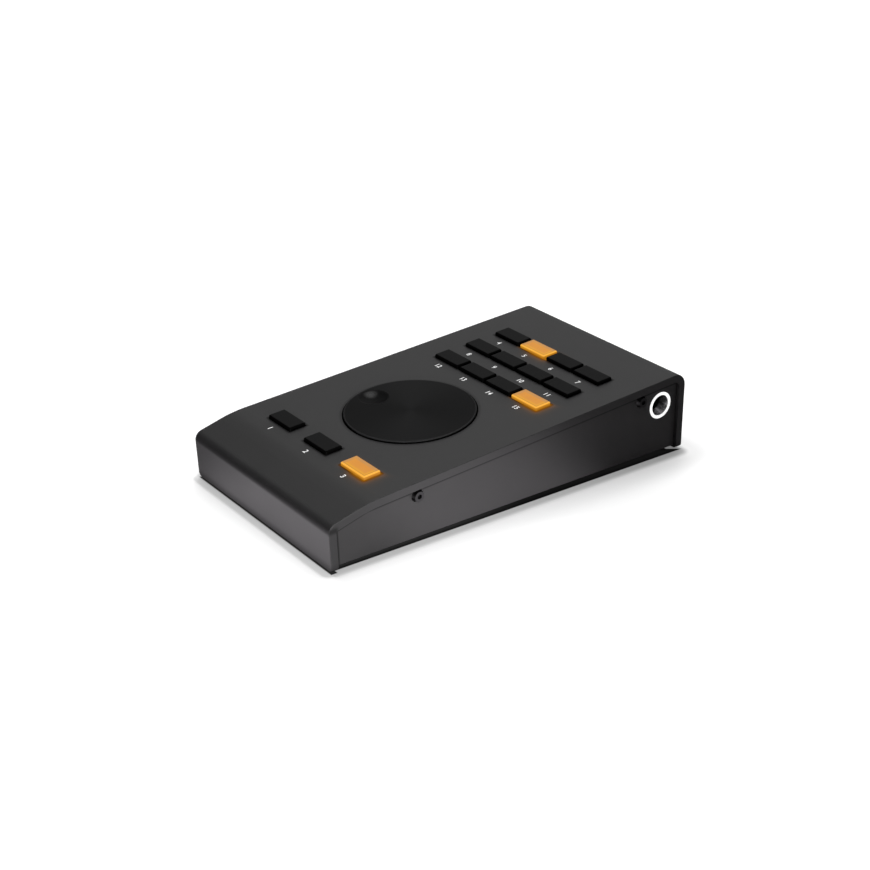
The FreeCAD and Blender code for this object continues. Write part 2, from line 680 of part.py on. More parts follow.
def make_encoder_shaft():
    """The shaft, round in its collar and flat on one side inside the insert."""
    insert_bottom = "(sizes.wheel_rise - sizes.wheel_depth + sizes.hub_rise)"
    top = "(%s - sizes.shaft_end_gap)" % wheel_underside()
    foot = shaft_foot_n()
    bar = round_bar("shaft_bar", "sizes.shaft_diameter", "%s - %s" % (top, foot), foot)
    side = block("shaft_side", "sizes.shaft_diameter", "sizes.shaft_diameter", "sizes.wheel_depth")
    place(side, "0", "sizes.shaft_diameter - sizes.shaft_flat - sizes.seat_gap", insert_bottom + " - sizes.seat_gap")
    shaft = cut("encoder_shaft_body", bar, side)
    place_on_deck(shaft, "0", "sizes.wheel_v", "0")
    return keep(shaft, "encoder_shaft")


def make_encoder_body():
    """The encoder's housing on the board, with a blind hole for the foot of the shaft."""
    box = block("encoder_box", "sizes.encoder_width", "sizes.encoder_depth", "sizes.encoder_height")
    raised(box, "-sizes.board_drop")
    hole = round_bar("encoder_well", "sizes.shaft_diameter + 2 * sizes.run_gap", "sizes.encoder_height",
                     shaft_foot_n() + " - sizes.shaft_foot_gap")
    body = cut("encoder_body_cut", box, hole)
    place_on_deck(body, "0", "sizes.wheel_v", "0")
    return keep(body, "encoder_body")


def make_encoder_collar():
    """The plate and collar that carry the shaft."""
    plate = block("encoder_lid", "sizes.encoder_width", "sizes.encoder_depth", "sizes.encoder_plate")
    raised(plate, "sizes.encoder_height - sizes.board_drop")
    collar = round_bar("encoder_neck", "sizes.encoder_collar", "sizes.encoder_collar_height", encoder_top())
    hole = round_bar("encoder_bore", "sizes.shaft_diameter + 2 * sizes.run_gap",
                     "2 * sizes.encoder_collar_height + 2 * sizes.encoder_plate",
                     encoder_top() + " - 2 * sizes.encoder_plate")
    body = cut("encoder_collar_cut", fuse("encoder_lid_and_neck", plate, collar), hole)
    place_on_deck(body, "0", "sizes.wheel_v", "0")
    return keep(body, "encoder_collar")


def make_key(name, u, v):
    """A key cap: a chamfered block, hollow below, with two ledges under the plate and a stem to the switch."""
    body = add("PartDesign::Body", "cap_" + name)
    foot = "(-sizes.plate - sizes.ledge_gap - sizes.ledge)"
    outline = sketch(body, name + "_outline", height=foot)
    rectangle(outline, "0", "0", "sizes.cap_width", "sizes.cap_depth")
    feature(body, "Pad", name + "_block", outline, "sizes.cap_rise - %s" % foot)
    top = value_of("sizes.cap_rise")

    def upright(edge):
        return abs(edge.tangentAt(edge.FirstParameter).z) > 0.999

    def top_edge(edge):
        return is_near(edge.BoundBox.ZMin, top)

    soften(body, "Fillet", name + "_corners", upright, "sizes.cap_chamfer + sizes.cap_corner")
    soften(body, "Chamfer", name + "_chamfer", top_edge, "sizes.cap_chamfer")
    ledges = sketch(body, name + "_ledge_outline", height=foot)
    rectangle(ledges, "0", "0", "sizes.cap_width - 2 * sizes.ledge", "sizes.cap_depth + 2 * sizes.ledge")
    feature(body, "Pad", name + "_ledges", ledges, "sizes.ledge")
    hollow = sketch(body, name + "_hollow_outline", height=foot)
    rectangle(hollow, "0", "0", "sizes.cap_width - 2 * sizes.cap_wall", "sizes.cap_depth - 2 * sizes.cap_wall")
    depth = "sizes.cap_rise - sizes.cap_roof - %s" % foot
    feature(body, "Pocket", name + "_hollow", hollow, depth, reverse=True)
    stem = sketch(body, name + "_stem_outline", height=plunger_top())
    rectangle(stem, "0", "0", "sizes.stem_side", "sizes.stem_side")
    feature(body, "Pad", name + "_stem", stem, "sizes.cap_rise - sizes.cap_roof / 2 - %s" % plunger_top())
    place_on_deck(body, u, v, "0")
    return keep(body, "cap_" + name)


def switch_top():
    """N of the top of a switch housing."""
    return "(sizes.switch_height - sizes.board_drop)"


def plunger_top():
    """N of the top of a switch plunger."""
    return "(sizes.switch_height + sizes.plunger_rise - sizes.board_drop)"


def make_plunger(name, u, v):
    """The round plunger of a switch."""
    plunger = round_bar("plunger_" + name, "sizes.plunger_diameter", "sizes.plunger_rise + sizes.plunger_reach")
    place_on_deck(plunger, u, v, switch_top() + " - sizes.plunger_reach")
    return keep(plunger, "plunger_" + name)


def make_switch_housings():
    """One square housing under each key, with the well that its plunger runs in."""
    housings = []
    for name, u, v in key_places():
        box = block("housing_box_" + name, "sizes.switch_side", "sizes.switch_side", "sizes.switch_height")
        depth = "(sizes.plunger_reach + 2 * sizes.key_travel)"
        well = round_bar("well_" + name, "sizes.plunger_diameter + 2 * sizes.run_gap", depth + " + sizes.run_gap",
                         "sizes.switch_height - " + depth)
        housing = cut("switch_housing_" + name, box, well)
        place_on_deck(housing, u, v, "-sizes.board_drop")
        housings.append(housing)
    return group("switch_housings", housings)


def make_key_lamps():
    """A domed lamp beside each switch, under the hollow of its cap."""
    lamps = []
    for name, u, v in key_places():
        stem = round_bar("lamp_stem_" + name, "sizes.lamp_diameter", "sizes.lamp_height")
        dome = add("Part::Sphere", "lamp_dome_" + name, Radius="sizes.lamp_diameter / 2")
        raised(dome, "sizes.lamp_height")
        lamp = fuse("lamp_" + name, stem, dome)
        place_on_deck(lamp, u + " + sizes.lamp_offset", v, "-sizes.board_drop")
        lamps.append(lamp)
    return group("key_lamps", lamps)


def board_front_v():
    """V of the board's front edge."""
    return "(sizes.plate + sizes.board_front_gap - sizes.front_reach)"


def board_rear_v():
    """V of the board's rear edge."""
    return "(sizes.rear_reach - sizes.plate - sizes.board_rear_gap)"


def board_half():
    """Half of the board's width."""
    return "(%s - sizes.board_side_gap)" % tray_inside()


def pillar_places():
    """The six pillars as name, U and V."""
    pairs = (("front", board_front_v() + " + sizes.pillar_front_inset"), ("middle", "sizes.pillar_middle_v"),
             ("rear", board_rear_v() + " - sizes.pillar_rear_inset"))
    return [("%s_%d" % (end, side + 1), "%d * (%s - sizes.pillar_side_inset)" % (side, board_half()), v)
            for end, v in pairs for side in (1, -1)]


def make_main_board():
    """The circuit board, parallel to the deck, notched at the right rear for the jack."""
    body = add("PartDesign::Body", "main_board")
    half = board_half()
    notch_u = "(%s - sizes.jack_body_length - sizes.notch_gap)" % tray_inside()
    notch_v = "(%s - sizes.jack_body_side / 2 - sizes.notch_gap)" % jack_v()
    outline = sketch(body, "board_outline")
    polygon(outline, [("-" + half, board_front_v()), (half, board_front_v()), (half, notch_v),
                      (notch_u, notch_v), (notch_u, board_rear_v()), ("-" + half, board_rear_v())])
    feature(body, "Pad", "board_plate", outline, "sizes.board_thickness", reverse=True)
    holes = sketch(body, "board_hole_places")
    for _, u, v in pillar_places():
        circle(holes, u, v, "sizes.screw_diameter + 2 * sizes.screw_gap")
    feature(body, "Pocket", "board_holes", holes, "2 * sizes.board_thickness", both_ways=True)
    place_on_deck(body, "0", "0", "-sizes.board_drop")
    return keep(body, "main_board")


def make_board_pillars():
    """Six tapped hexagon pillars pressed under the plate, which carry the board."""
    pillars = []
    for name, u, v in pillar_places():
        height = "(sizes.board_drop - sizes.plate)"
        bar = hexagon("pillar_bar_" + name, "sizes.pillar_flats", height, "-sizes.board_drop")
        tap = round_bar("pillar_tap_" + name, "sizes.screw_diameter + 2 * sizes.run_gap",
                        "2 * sizes.board_screw_grip", "-sizes.board_drop - sizes.board_screw_grip / 2")
        pillar = cut("pillar_" + name, bar, tap)
        place_on_deck(pillar, u, v, "0")
        pillars.append(pillar)
    return group("board_pillars", pillars)


def make_board_screws():
    """The screws that hold the board to its pillars."""
    screws = []
    for name, u, v in pillar_places():
        head = round_bar("board_head_" + name, "sizes.board_screw_head", "sizes.board_screw_rise",
                         "-sizes.board_screw_rise")
        shank = round_bar("board_shank_" + name, "sizes.screw_diameter",
                          "sizes.board_thickness + sizes.board_screw_grip")
        screw = fuse("board_screw_" + name, head, shank)
        place_on_deck(screw, u, v, "-sizes.board_drop - sizes.board_thickness")
        screws.append(screw)
    return group("board_screws", screws)


def make_board_chips():
    """The main chip, the lamp driver and the voltage regulator on the board."""
    chips = []
    chip_sizes = (("main_chip", "sizes.chip_side", "sizes.chip_side", "-sizes.driver_u", "sizes.chip_v"),
                  ("lamp_driver", "sizes.driver_width", "sizes.driver_length", "sizes.driver_u", "sizes.chip_v"),
                  ("regulator", "sizes.regulator_side", "sizes.regulator_side", "-sizes.driver_u",
                   board_rear_v() + " - sizes.regulator_inset"))
    for name, width, length, u, v in chip_sizes:
        chip = block(name, width, length, "sizes.chip_height")
        place_on_deck(chip, u, v, "-sizes.board_drop")
        chips.append(chip)
    return group("board_chips", chips)


def rounded_tube(name, width, height, length, y):
    """A bar along Y with round sides, standing on its own XY plane, from y to the rear."""
    radius = "(%s) / 2" % height
    flat = block(name + "_flat", "(%s) - (%s)" % (width, height), length, height)
    place(flat, "0", "(%s) + (%s) / 2" % (y, length), "0")
    sides = []
    for side in (1, -1):
        bar = add("Part::Cylinder", "%s_side_%d" % (name, side + 1), Radius=radius, Height=length)
        bar.Placement = Placement(Vector(), Rotation(Vector(1, 0, 0), -90))
        place(bar, "%d * ((%s) - (%s)) / 2" % (side, width, height), y, radius)
        sides.append(bar)
    return fuse(name, flat, *sides)


def make_inlet_shell():
    """The metal shell of the data inlet on the rear edge of the board."""
    outside = rounded_tube("inlet_outside", "sizes.inlet_width", "sizes.inlet_height", "sizes.inlet_length", "0")
    inside = rounded_tube("inlet_inside", "sizes.inlet_width - 2 * sizes.inlet_wall",
                          "sizes.inlet_height - 2 * sizes.inlet_wall", "sizes.inlet_length", "sizes.inlet_back")
    raised(inside, "sizes.inlet_wall")
    shell = cut("inlet_shell_cut", outside, inside)
    place_on_deck(shell, "0", inlet_mouth_v() + " - sizes.inlet_length", "-sizes.board_drop")
    return keep(shell, "inlet_shell")


def make_inlet_tongue():
    """The contact tongue in the middle of the inlet."""
    tongue = block("inlet_tongue_bar", "sizes.tongue_width", "sizes.tongue_length", "sizes.tongue_thickness")
    start = inlet_mouth_v() + " - sizes.inlet_length + sizes.inlet_back + sizes.tongue_length / 2"
    place_on_deck(tongue, "0", start, "sizes.inlet_height / 2 - sizes.tongue_thickness / 2 - sizes.board_drop")
    return keep(tongue, "inlet_tongue")


def place_jack(item, x):
    """Lays a piece of the jack along the jack's axis."""
    place_through_side(item, 1, x, jack_v(), "-sizes.jack_drop")


def make_jack_ring():
    """The pale ring nut outside the right side."""
    disc = round_bar("ring_disc", "sizes.ring_diameter", "sizes.ring_rise")
    hole = round_bar("ring_hole", "sizes.jack_sleeve_diameter + 2 * sizes.ring_gap", "3 * sizes.ring_rise",
                     "-sizes.ring_rise")
    ring = cut("jack_ring_cut", disc, hole)
    place_jack(ring, tray_side())
    return keep(ring, "jack_ring")


def make_jack_sleeve():
    """The metal sleeve: a conical lead-in, then the bore for the plug."""
    bar = round_bar("sleeve_bar", "sizes.jack_sleeve_diameter", "sizes.jack_sleeve_length",
                    "-sizes.jack_sleeve_length")
    bore = round_bar("sleeve_bore", "sizes.jack_bore", "3 * sizes.jack_sleeve_length",
                     "-2 * sizes.jack_sleeve_length")
    lead = add("Part::Cone", "sleeve_lead", Radius1="sizes.jack_bore / 2", Radius2="sizes.jack_mouth / 2",
               Height="sizes.jack_lead")
    raised(lead, "-sizes.jack_lead")
    sleeve = cut("jack_sleeve_cut", cut("sleeve_bored", bar, bore), lead)
    place_jack(sleeve, tray_side() + " + sizes.ring_rise - sizes.jack_sleeve_inset")
    return keep(sleeve, "jack_sleeve")


def make_jack_body():
    """The square body of the jack behind the right side, stepped for the sleeve and the plug."""
    box = block("jack_box", "sizes.jack_body_side", "sizes.jack_body_side", "sizes.jack_body_length")
    raised(box, "-sizes.jack_body_length")
    seat_depth = "(sizes.jack_sleeve_length - sizes.tray_sheet - sizes.ring_rise + sizes.jack_sleeve_inset)"
    seat = round_bar("sleeve_seat", "sizes.jack_sleeve_diameter + 2 * sizes.ring_gap",
                     seat_depth + " + sizes.tray_sheet", "-" + seat_depth)
    cavity = round_bar("plug_cavity", "sizes.jack_cavity", "sizes.jack_body_length",
                       "sizes.jack_end_wall - sizes.jack_body_length")
    body = cut("jack_body_cut", cut("jack_body_seat", box, seat), cavity)
    place_jack(body, tray_inside())
    return keep(body, "jack_body")


def make_jack_tags():
    """Three solder tags from the end of the jack down to the board."""
    tags = []
    for number in (-1, 0, 1):
        drop = "(sizes.board_drop - sizes.jack_drop + sizes.tag_thickness / 2)"
        level = block("tag_level_%d" % (number + 1), "sizes.tag_reach", "sizes.tag_width", "sizes.tag_thickness")
        place(level, "-sizes.tag_reach / 2", "0", "-sizes.tag_thickness / 2")
        leg = block("tag_leg_%d" % (number + 1), "sizes.tag_thickness", "sizes.tag_width", drop)
        place(leg, "sizes.tag_thickness / 2 - sizes.tag_reach", "0", "sizes.tag_thickness / 2 - " + drop)
        tag = fuse("jack_tag_%d" % (number + 1), level, leg)
        place_on_deck(tag, "%s - sizes.jack_body_length" % tray_inside(),
                      "%s + %d * sizes.tag_pitch" % (jack_v(), number), "-sizes.jack_drop")
        tags.append(tag)
    return group("jack_tags", tags)


def check_model():
    """Stops if an object failed or a sub-part's shape is empty or broken."""
    for item in doc.Objects:
        if "Invalid" in item.State or "Error" in item.State:
            raise RuntimeError("%s failed" % item.Label)
    for item in parts:
        if item.Shape.isNull() or not item.Shape.isValid() or not item.Shape.Solids:
            raise RuntimeError("%s has no sound shape" % item.Label)


def write_parts():
    """Writes each sub-part to its own file."""
    os.makedirs("parts", exist_ok=True)
    for item in parts:
        item.Shape.exportStep("parts/%s.step" % item.Label)
        solids = item.Shape.Solids
        print("%-20s %2d solids %10.2f mm3" % (item.Label, len(solids), sum(solid.Volume for solid in solids)))


fill_sheet()
make_top_cover()
make_base_tray()
make_fixing_blocks()
make_side_screws()
make_rubber_feet()
make_main_board()
make_board_pillars()
make_board_screws()
make_board_chips()
make_switch_housings()
make_key_lamps()
make_encoder_body()
make_encoder_collar()
make_encoder_shaft()
make_wheel()
make_wheel_insert()
make_inlet_shell()
make_inlet_tongue()
make_jack_ring()
make_jack_sleeve()
make_jack_body()
make_jack_tags()
for key_name, key_u, key_v in key_places():
    make_key(key_name, key_u, key_v)
    make_plunger(key_name, key_u, key_v)
doc.recompute()
check_model()
write_parts()
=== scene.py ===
"""Looks of a desktop remote control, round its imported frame.

Metres; X to the right, Y to the rear, Z up, as in the frame.
A deck place is (u, v, n): u along X, v up the slope of the deck, n out of the deck's top face.
A band is (low, high): where a smooth step begins and where it ends.
"""

import logging
import math
from dataclasses import dataclass
from enum import Enum
from typing import Any, Union

import bpy
from mathutils import Matrix, Vector


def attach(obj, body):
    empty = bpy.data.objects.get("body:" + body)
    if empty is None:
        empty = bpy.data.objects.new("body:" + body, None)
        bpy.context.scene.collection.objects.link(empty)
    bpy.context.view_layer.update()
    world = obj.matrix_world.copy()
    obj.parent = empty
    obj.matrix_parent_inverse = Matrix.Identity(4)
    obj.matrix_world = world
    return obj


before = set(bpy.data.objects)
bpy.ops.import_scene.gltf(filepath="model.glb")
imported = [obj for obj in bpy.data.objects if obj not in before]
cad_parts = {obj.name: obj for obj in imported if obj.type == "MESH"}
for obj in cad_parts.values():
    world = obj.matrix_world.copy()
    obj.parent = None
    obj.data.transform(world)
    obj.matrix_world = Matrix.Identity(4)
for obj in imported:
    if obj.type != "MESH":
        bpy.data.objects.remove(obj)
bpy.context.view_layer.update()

log = logging.getLogger("remote_control")

Colour = tuple[float, float, float]
Band = tuple[float, float]

MM = 0.001
RIGHT = Vector((1.0, 0.0, 0.0))
REAR = Vector((0.0, 1.0, 0.0))
UP = Vector((0.0, 0.0, 1.0))
WHEEL_PLACE = (0.0, -19.0 * MM)
WHITE: Colour = (1.0, 1.0, 1.0)
NO_LIGHT: Colour = (0.0, 0.0, 0.0)
IN_SHADOW: Colour = (0.001, 0.001, 0.001)


class Signal:
    """A shader socket that takes part in Python expressions on values."""

    def __init__(self, painter: "Painter", socket: bpy.types.NodeSocket) -> None:
        """Wraps an output socket of the painter's tree."""
        self.painter = painter
        self.socket = socket

    def _math(self, operation: str, *values: "Number") -> "Signal":
        """A Math node on some values."""
        return self.painter.maths(operation, *values)

    def __add__(self, other: "Number") -> "Signal":
        """self + other."""
        return self._math("ADD", self, other)

    def __radd__(self, other: "Number") -> "Signal":
        """other + self."""
        return self._math("ADD", other, self)

    def __sub__(self, other: "Number") -> "Signal":
        """self - other."""
        return self._math("SUBTRACT", self, other)

    def __rsub__(self, other: "Number") -> "Signal":
        """other - self."""
        return self._math("SUBTRACT", other, self)

    def __mul__(self, other: "Number") -> "Signal":
        """self * other."""
        return self._math("MULTIPLY", self, other)

    def __rmul__(self, other: "Number") -> "Signal":
        """other * self."""
        return self._math("MULTIPLY", other, self)

    def __truediv__(self, other: "Number") -> "Signal":
        """self / other."""
        return self._math("DIVIDE", self, other)

    def __rtruediv__(self, other: "Number") -> "Signal":
        """other / self."""
        return self._math("DIVIDE", other, self)

    def __pow__(self, other: "Number") -> "Signal":
        """self to the power of other."""
        return self._math("POWER", self, other)

    def __neg__(self) -> "Signal":
        """The value with its sign turned."""
        return self._math("MULTIPLY", self, -1.0)

    def __abs__(self) -> "Signal":
        """The value without its sign."""
        return self._math("ABSOLUTE", self)

    def at_least(self, other: "Number") -> "Signal":
        """The larger of two values."""
        return self._math("MAXIMUM", self, other)

    def at_most(self, other: "Number") -> "Signal":
        """The smaller of two values."""
        return self._math("MINIMUM", self, other)

    def clamp(self) -> "Signal":
        """The value held between 0 and 1."""
        return self.at_least(0.0).at_most(1.0)

    def whole(self) -> "Signal":
        """The nearest whole number."""
        return self._math("ROUND", self)

    def above(self, other: "Number") -> "Signal":
        """1 where the value is larger than another, 0 elsewhere."""
        return self._math("GREATER_THAN", self, other)

    def root(self) -> "Signal":
        """The square root."""
        return self._math("SQRT", self)

    def exp(self) -> "Signal":
        """e to the power of the value."""
        return self._math("EXPONENT", self)

    def rise(self, low: float, high: float) -> "Signal":
        """A smooth step from 0 at low to 1 at high."""
        values = {"Value": self, "From Min": low, "From Max": high}
        return self.painter.out("ShaderNodeMapRange", "Result", {"interpolation_type": "SMOOTHSTEP"}, values)

    def fall(self, low: float, high: float) -> "Signal":
        """A smooth step from 1 at low to 0 at high."""
        return 1.0 - self.rise(low, high)

    def between(self, start: float, end: float) -> "Signal":
        """Start where the value is 0, end where it is 1."""
        return self * (end - start) + start

    def along(self, direction: Vector) -> "Signal":
        """How far a point or a direction goes along a fixed direction."""
        values = {0: self, 1: tuple(direction)}
        return self.painter.out("ShaderNodeVectorMath", "Value", {"operation": "DOT_PRODUCT"}, values)

    def noise(self, size: float, detail: float = 2.0, rough: float = 0.5) -> "Signal":
        """Soft noise round 0.5 at a point.

        Args:
            size: The size of its features, in metres.
            detail: How many finer layers it has.
            rough: How strong these layers are.

        Returns:
            The noise.
        """
        values = {"Vector": self, "Scale": 1.0 / size, "Detail": detail, "Roughness": rough}
        return self.painter.out("ShaderNodeTexNoise", 0, {"noise_dimensions": "3D"}, values)


Number = Union[Signal, float, int]
Value = Union[Signal, bpy.types.NodeSocket, float, int, tuple]


class Ray(Enum):
    """The kinds of ray that the floor and the surroundings tell apart."""

    CAMERA = "Is Camera Ray"
    CLEAR = "Is Transmission Ray"
    MIRRORED = "Is Glossy Ray"


class Painter:
    """Builds the nodes of one tree."""

    def __init__(self, tree: bpy.types.NodeTree) -> None:
        """Starts on a tree, which it empties."""
        self.tree = tree
        self.tree.nodes.clear()

    def node(self, kind: str, settings: dict[str, Any], values: dict[Any, Value]) -> bpy.types.Node:
        """Makes a node.

        Args:
            kind: The node's type.
            settings: Its settings, made first.
            values: What goes into its sockets, by name or number.

        Returns:
            The node.
        """
        item = self.tree.nodes.new(kind)
        for name, setting in settings.items():
            setattr(item, name, setting)
        for name, value in values.items():
            self._feed(item.inputs[name], value)
        return item

    def _feed(self, socket: bpy.types.NodeSocket, value: Value) -> None:
        """Links a socket, or sets its number or colour.

        Args:
            socket: The input socket.
            value: What goes into it.
        """
        if isinstance(value, Signal):
            self.tree.links.new(value.socket, socket)
        elif isinstance(value, bpy.types.NodeSocket):
            self.tree.links.new(value, socket)
        elif isinstance(value, tuple) and socket.type == "RGBA":
            socket.default_value = (*value[:3], 1.0)
        else:
            socket.default_value = value

    def out(self, kind: str, output: Any, settings: dict[str, Any], values: dict[Any, Value]) -> Signal:
        """Makes a node and wraps one of its outputs."""
        return Signal(self, self.node(kind, settings, values).outputs[output])

    def maths(self, operation: str, *values: Number) -> Signal:
        """A Math node on some values."""
        return self.out("ShaderNodeMath", 0, {"operation": operation}, dict(enumerate(values)))

    def mix(self, factor: Number, first: Value, second: Value) -> Signal:
        """A colour between two colours."""
        settings = {"data_type": "RGBA", "clamp_factor": True}
        return self.out("ShaderNodeMix", 2, settings, {0: factor, 6: first, 7: second})

    def place(self) -> Signal:
        """The point on the surface, in the object's own frame."""
        return self.out("ShaderNodeTexCoord", "Object", {}, {})

    def normal(self) -> Signal:
        """The surface's own outward direction, in the object's frame."""
        return self.out("ShaderNodeTexCoord", "Normal", {}, {})

    def ray(self, kind: Ray) -> Signal:
        """1 for rays of one kind, 0 for all others."""
        return self.out("ShaderNodeLightPath", kind.value, {}, {})

    def seen(self) -> Signal:
        """1 where the camera looks, also through clear things, and 0 for light and for reflections."""
        return self.ray(Ray.CAMERA).at_least(self.ray(Ray.CLEAR))

    def bump(self, height: Signal, strength: float, depth: float) -> Signal:
        """A bumped surface direction.

        Args:
            height: The height, round 0 to 1.
            strength: How much of it shows.
            depth: The height of 1, in metres.

        Returns:
            The surface direction.
        """
        values = {"Strength": strength, "Distance": depth, "Height": height}
        return self.out("ShaderNodeBump", 0, {}, values)

    def glow(self, colour: Value, strength: float) -> bpy.types.Node:
        """A shader that only gives off light."""
        return self.node("ShaderNodeEmission", {}, {"Color": colour, "Strength": strength})

    def blend(self, factor: Number, first: bpy.types.Node, second: bpy.types.Node) -> bpy.types.Node:
        """A shader between two shaders."""
        return self.node("ShaderNodeMixShader", {}, {0: factor, 1: first.outputs[0], 2: second.outputs[0]})

    def end(self, shader: bpy.types.Node) -> None:
        """Ends a material with a shader."""
        self.node("ShaderNodeOutputMaterial", {}, {"Surface": shader.outputs[0]})

    def surface(self, values: dict[str, Value]) -> None:
        """Ends a material with one Principled shader."""
        self.end(self.node("ShaderNodeBsdfPrincipled", {}, values))

    def shaded_surface(self, values: dict[str, Value], shadow: Signal, light: dict[str, Value]) -> None:
        """Ends a material with a Principled shader that goes dark where it lies in shadow.

        Args:
            values: What the shader is fed.
            shadow: How deep the shadow is, from 0 to 1.
            light: What is fed both to the shader and to its shadow.
        """
        coat = self.node("ShaderNodeBsdfPrincipled", {}, {**values, **light})
        dark_values = {"Base Color": IN_SHADOW, "Specular IOR Level": 0.0, **light}
        dark = self.node("ShaderNodeBsdfPrincipled", {}, dark_values)
        self.end(self.blend(shadow, coat, dark))


def scaled(colour: Colour, factor: float) -> Colour:
    """A colour made lighter or darker."""
    return tuple(min(1.0, channel * factor) for channel in colour)


def diagonal(*sides: Signal) -> Signal:
    """How far apart two points are that lie some distances apart at right angles.

    Args:
        sides: The distances.

    Returns:
        The length of the straight line.
    """
    total, *others = [side * side for side in sides]
    for square in others:
        total = total + square
    return total.root()


def toward(azimuth: float, elevation: float) -> Vector:
    """The direction to a place round the object, by its degrees from the front to the right and upwards."""
    turn, rise = math.radians(azimuth), math.radians(elevation)
    return Vector((math.sin(turn) * math.cos(rise), -math.cos(turn) * math.cos(rise), math.sin(rise)))


def stand(place: Vector, *axes: Vector) -> Matrix:
    """The matrix that gives an object its place and the directions of its own X, Y and Z."""
    turn = Matrix([[axis[row] for axis in axes] for row in range(3)])
    return Matrix.Translation(place) @ turn.to_4x4()


def add_object(name: str, data: bpy.types.ID) -> bpy.types.Object:
    """Puts a new object into the scene.

    Args:
        name: The object's name.
        data: Its mesh, curve, light or camera.

    Returns:
        The object.
    """
    item = bpy.data.objects.new(name, data)
    bpy.context.scene.collection.objects.link(item)
    return item


@dataclass(frozen=True)
class Deck:
    """Where the deck lies."""

    slope: float = 4.0
    height: float = 31.6 * MM

    @property
    def up(self) -> Vector:
        """The deck's outward direction."""
        angle = math.radians(self.slope)
        return Vector((0.0, -math.sin(angle), math.cos(angle)))

    @property
    def back(self) -> Vector:
        """The direction up the slope."""
        angle = math.radians(self.slope)
        return Vector((0.0, math.cos(angle), math.sin(angle)))

    def point(self, u: float, v: float, n: float) -> Vector:
        """A deck place as a point."""
        return Vector((u, 0.0, self.height)) + self.back * v + self.up * n

    def spot(self, place: Signal) -> tuple[Signal, Signal]:
        """How far a point lies along X and up the slope."""
        origin = self.point(0.0, 0.0, 0.0)
        return place.along(RIGHT), place.along(self.back) - origin.dot(self.back)

    def rise(self, place: Signal) -> Signal:
        """How far a point lies out of the deck."""
        origin = self.point(0.0, 0.0, 0.0)
        return place.along(self.up) - origin.dot(self.up)


DECK = Deck()


@dataclass(frozen=True)
class KeyPlan:
    """Where the key caps lie on the deck: three rear rows of four and a front row of three."""

    column_pitch: float = 18.1 * MM
    row_pitch: float = 17.65 * MM
    rear_row_v: float = 60.75 * MM
    front_pitch: float = 27.15 * MM
    front_row_v: float = -63.8 * MM
    rear_keys_from_v: float = -20 * MM
    half_width: float = 8.3 * MM
    half_depth: float = 4.15 * MM

    def places(self) -> dict[str, tuple[float, float]]:
        """Where the keys are.

        Returns:
            Every key's name with its middle on the deck.
        """
        found = {f"front_{column + 1}": ((column - 1) * self.front_pitch, self.front_row_v)
                 for column in range(3)}
        for row in range(3):
            for column in range(4):
                u = (column - 1.5) * self.column_pitch
                found[f"rear_{row + 1}_{column + 1}"] = (u, self.rear_row_v - row * self.row_pitch)
        return found

    @staticmethod
    def _from_nearest(value: Signal, pitch: float, count: int) -> Signal:
        """How far a value lies beyond the nearest of some evenly spaced places round zero.

        Args:
            value: The value.
            pitch: From one place to the next.
            count: How many places there are.

        Returns:
            The distance, with its sign.
        """
        middle = (count - 1) / 2
        index = (value / pitch + middle).whole().at_least(0.0).at_most(count - 1.0)
        return value - (index - middle) * pitch

    def from_key(self, place: Signal) -> tuple[Signal, Signal]:
        """A point as seen from the middle of the nearest key.

        Args:
            place: The point.

        Returns:
            How far it lies to the right and to the front.
        """
        across, up_slope = DECK.spot(place)
        at_rear = up_slope.above(self.rear_keys_from_v)
        middle_row = self.rear_row_v - self.row_pitch
        rear_aside = self._from_nearest(across, self.column_pitch, 4)
        rear_ahead = self._from_nearest(middle_row - up_slope, self.row_pitch, 3)
        front_aside = self._from_nearest(across, self.front_pitch, 3)
        front_ahead = self.front_row_v - up_slope
        aside = front_aside + (rear_aside - front_aside) * at_rear
        return aside, front_ahead + (rear_ahead - front_ahead) * at_rear

    def outside(self, aside: Signal, ahead: Signal) -> Signal:
        """How far a point lies outside a cap.

        Args:
            aside: How far it lies to the right of the cap's middle.
            ahead: How far it lies to the front of the cap's middle.

        Returns:
            The distance, 0 over the cap.
        """
        beside = (abs(aside) - self.half_width).at_least(0.0)
        before = (abs(ahead) - self.half_depth).at_least(0.0)
        return diagonal(beside, before)

    def borders(self, place: Signal) -> tuple[Signal, Signal]:
        """How far a point of a cap lies inside the cap's edges.

        Args:
            place: The point.

        Returns:
            The distance to the right or front edge, and that to the left or rear edge.
        """
        aside, ahead = self.from_key(place)
        near = (self.half_width - aside).at_most(self.half_depth - ahead)
        return near, (aside + self.half_width).at_most(ahead + self.half_depth)


KEYS = KeyPlan()


@dataclass(frozen=True)
class CoverOutline:
    """The bent plate's outside but for the rear, seen from the side: each line's outward angle and reach."""

    front: tuple[float, float] = (183.4, 93.915 * MM)
    ramp: tuple[float, float] = (105.5, 45.795 * MM)
    deck: tuple[float, float] = (94.0, 31.523 * MM)

    @staticmethod
    def outward(angle: float) -> Vector:
        """The direction at an angle from the rear, upwards."""
        return Vector((0.0, math.cos(math.radians(angle)), math.sin(math.radians(angle))))

    def depth(self, place: Signal) -> Signal:
        """How far a point lies inside the outline.

        Args:
            place: The point.

        Returns:
            The distance to the nearest line.
        """
        nearest: Number = 1.0
        for angle, reach in (self.front, self.ramp, self.deck):
            nearest = (reach - place.along(self.outward(angle))).at_most(nearest)
        return nearest


OUTLINE = CoverOutline()


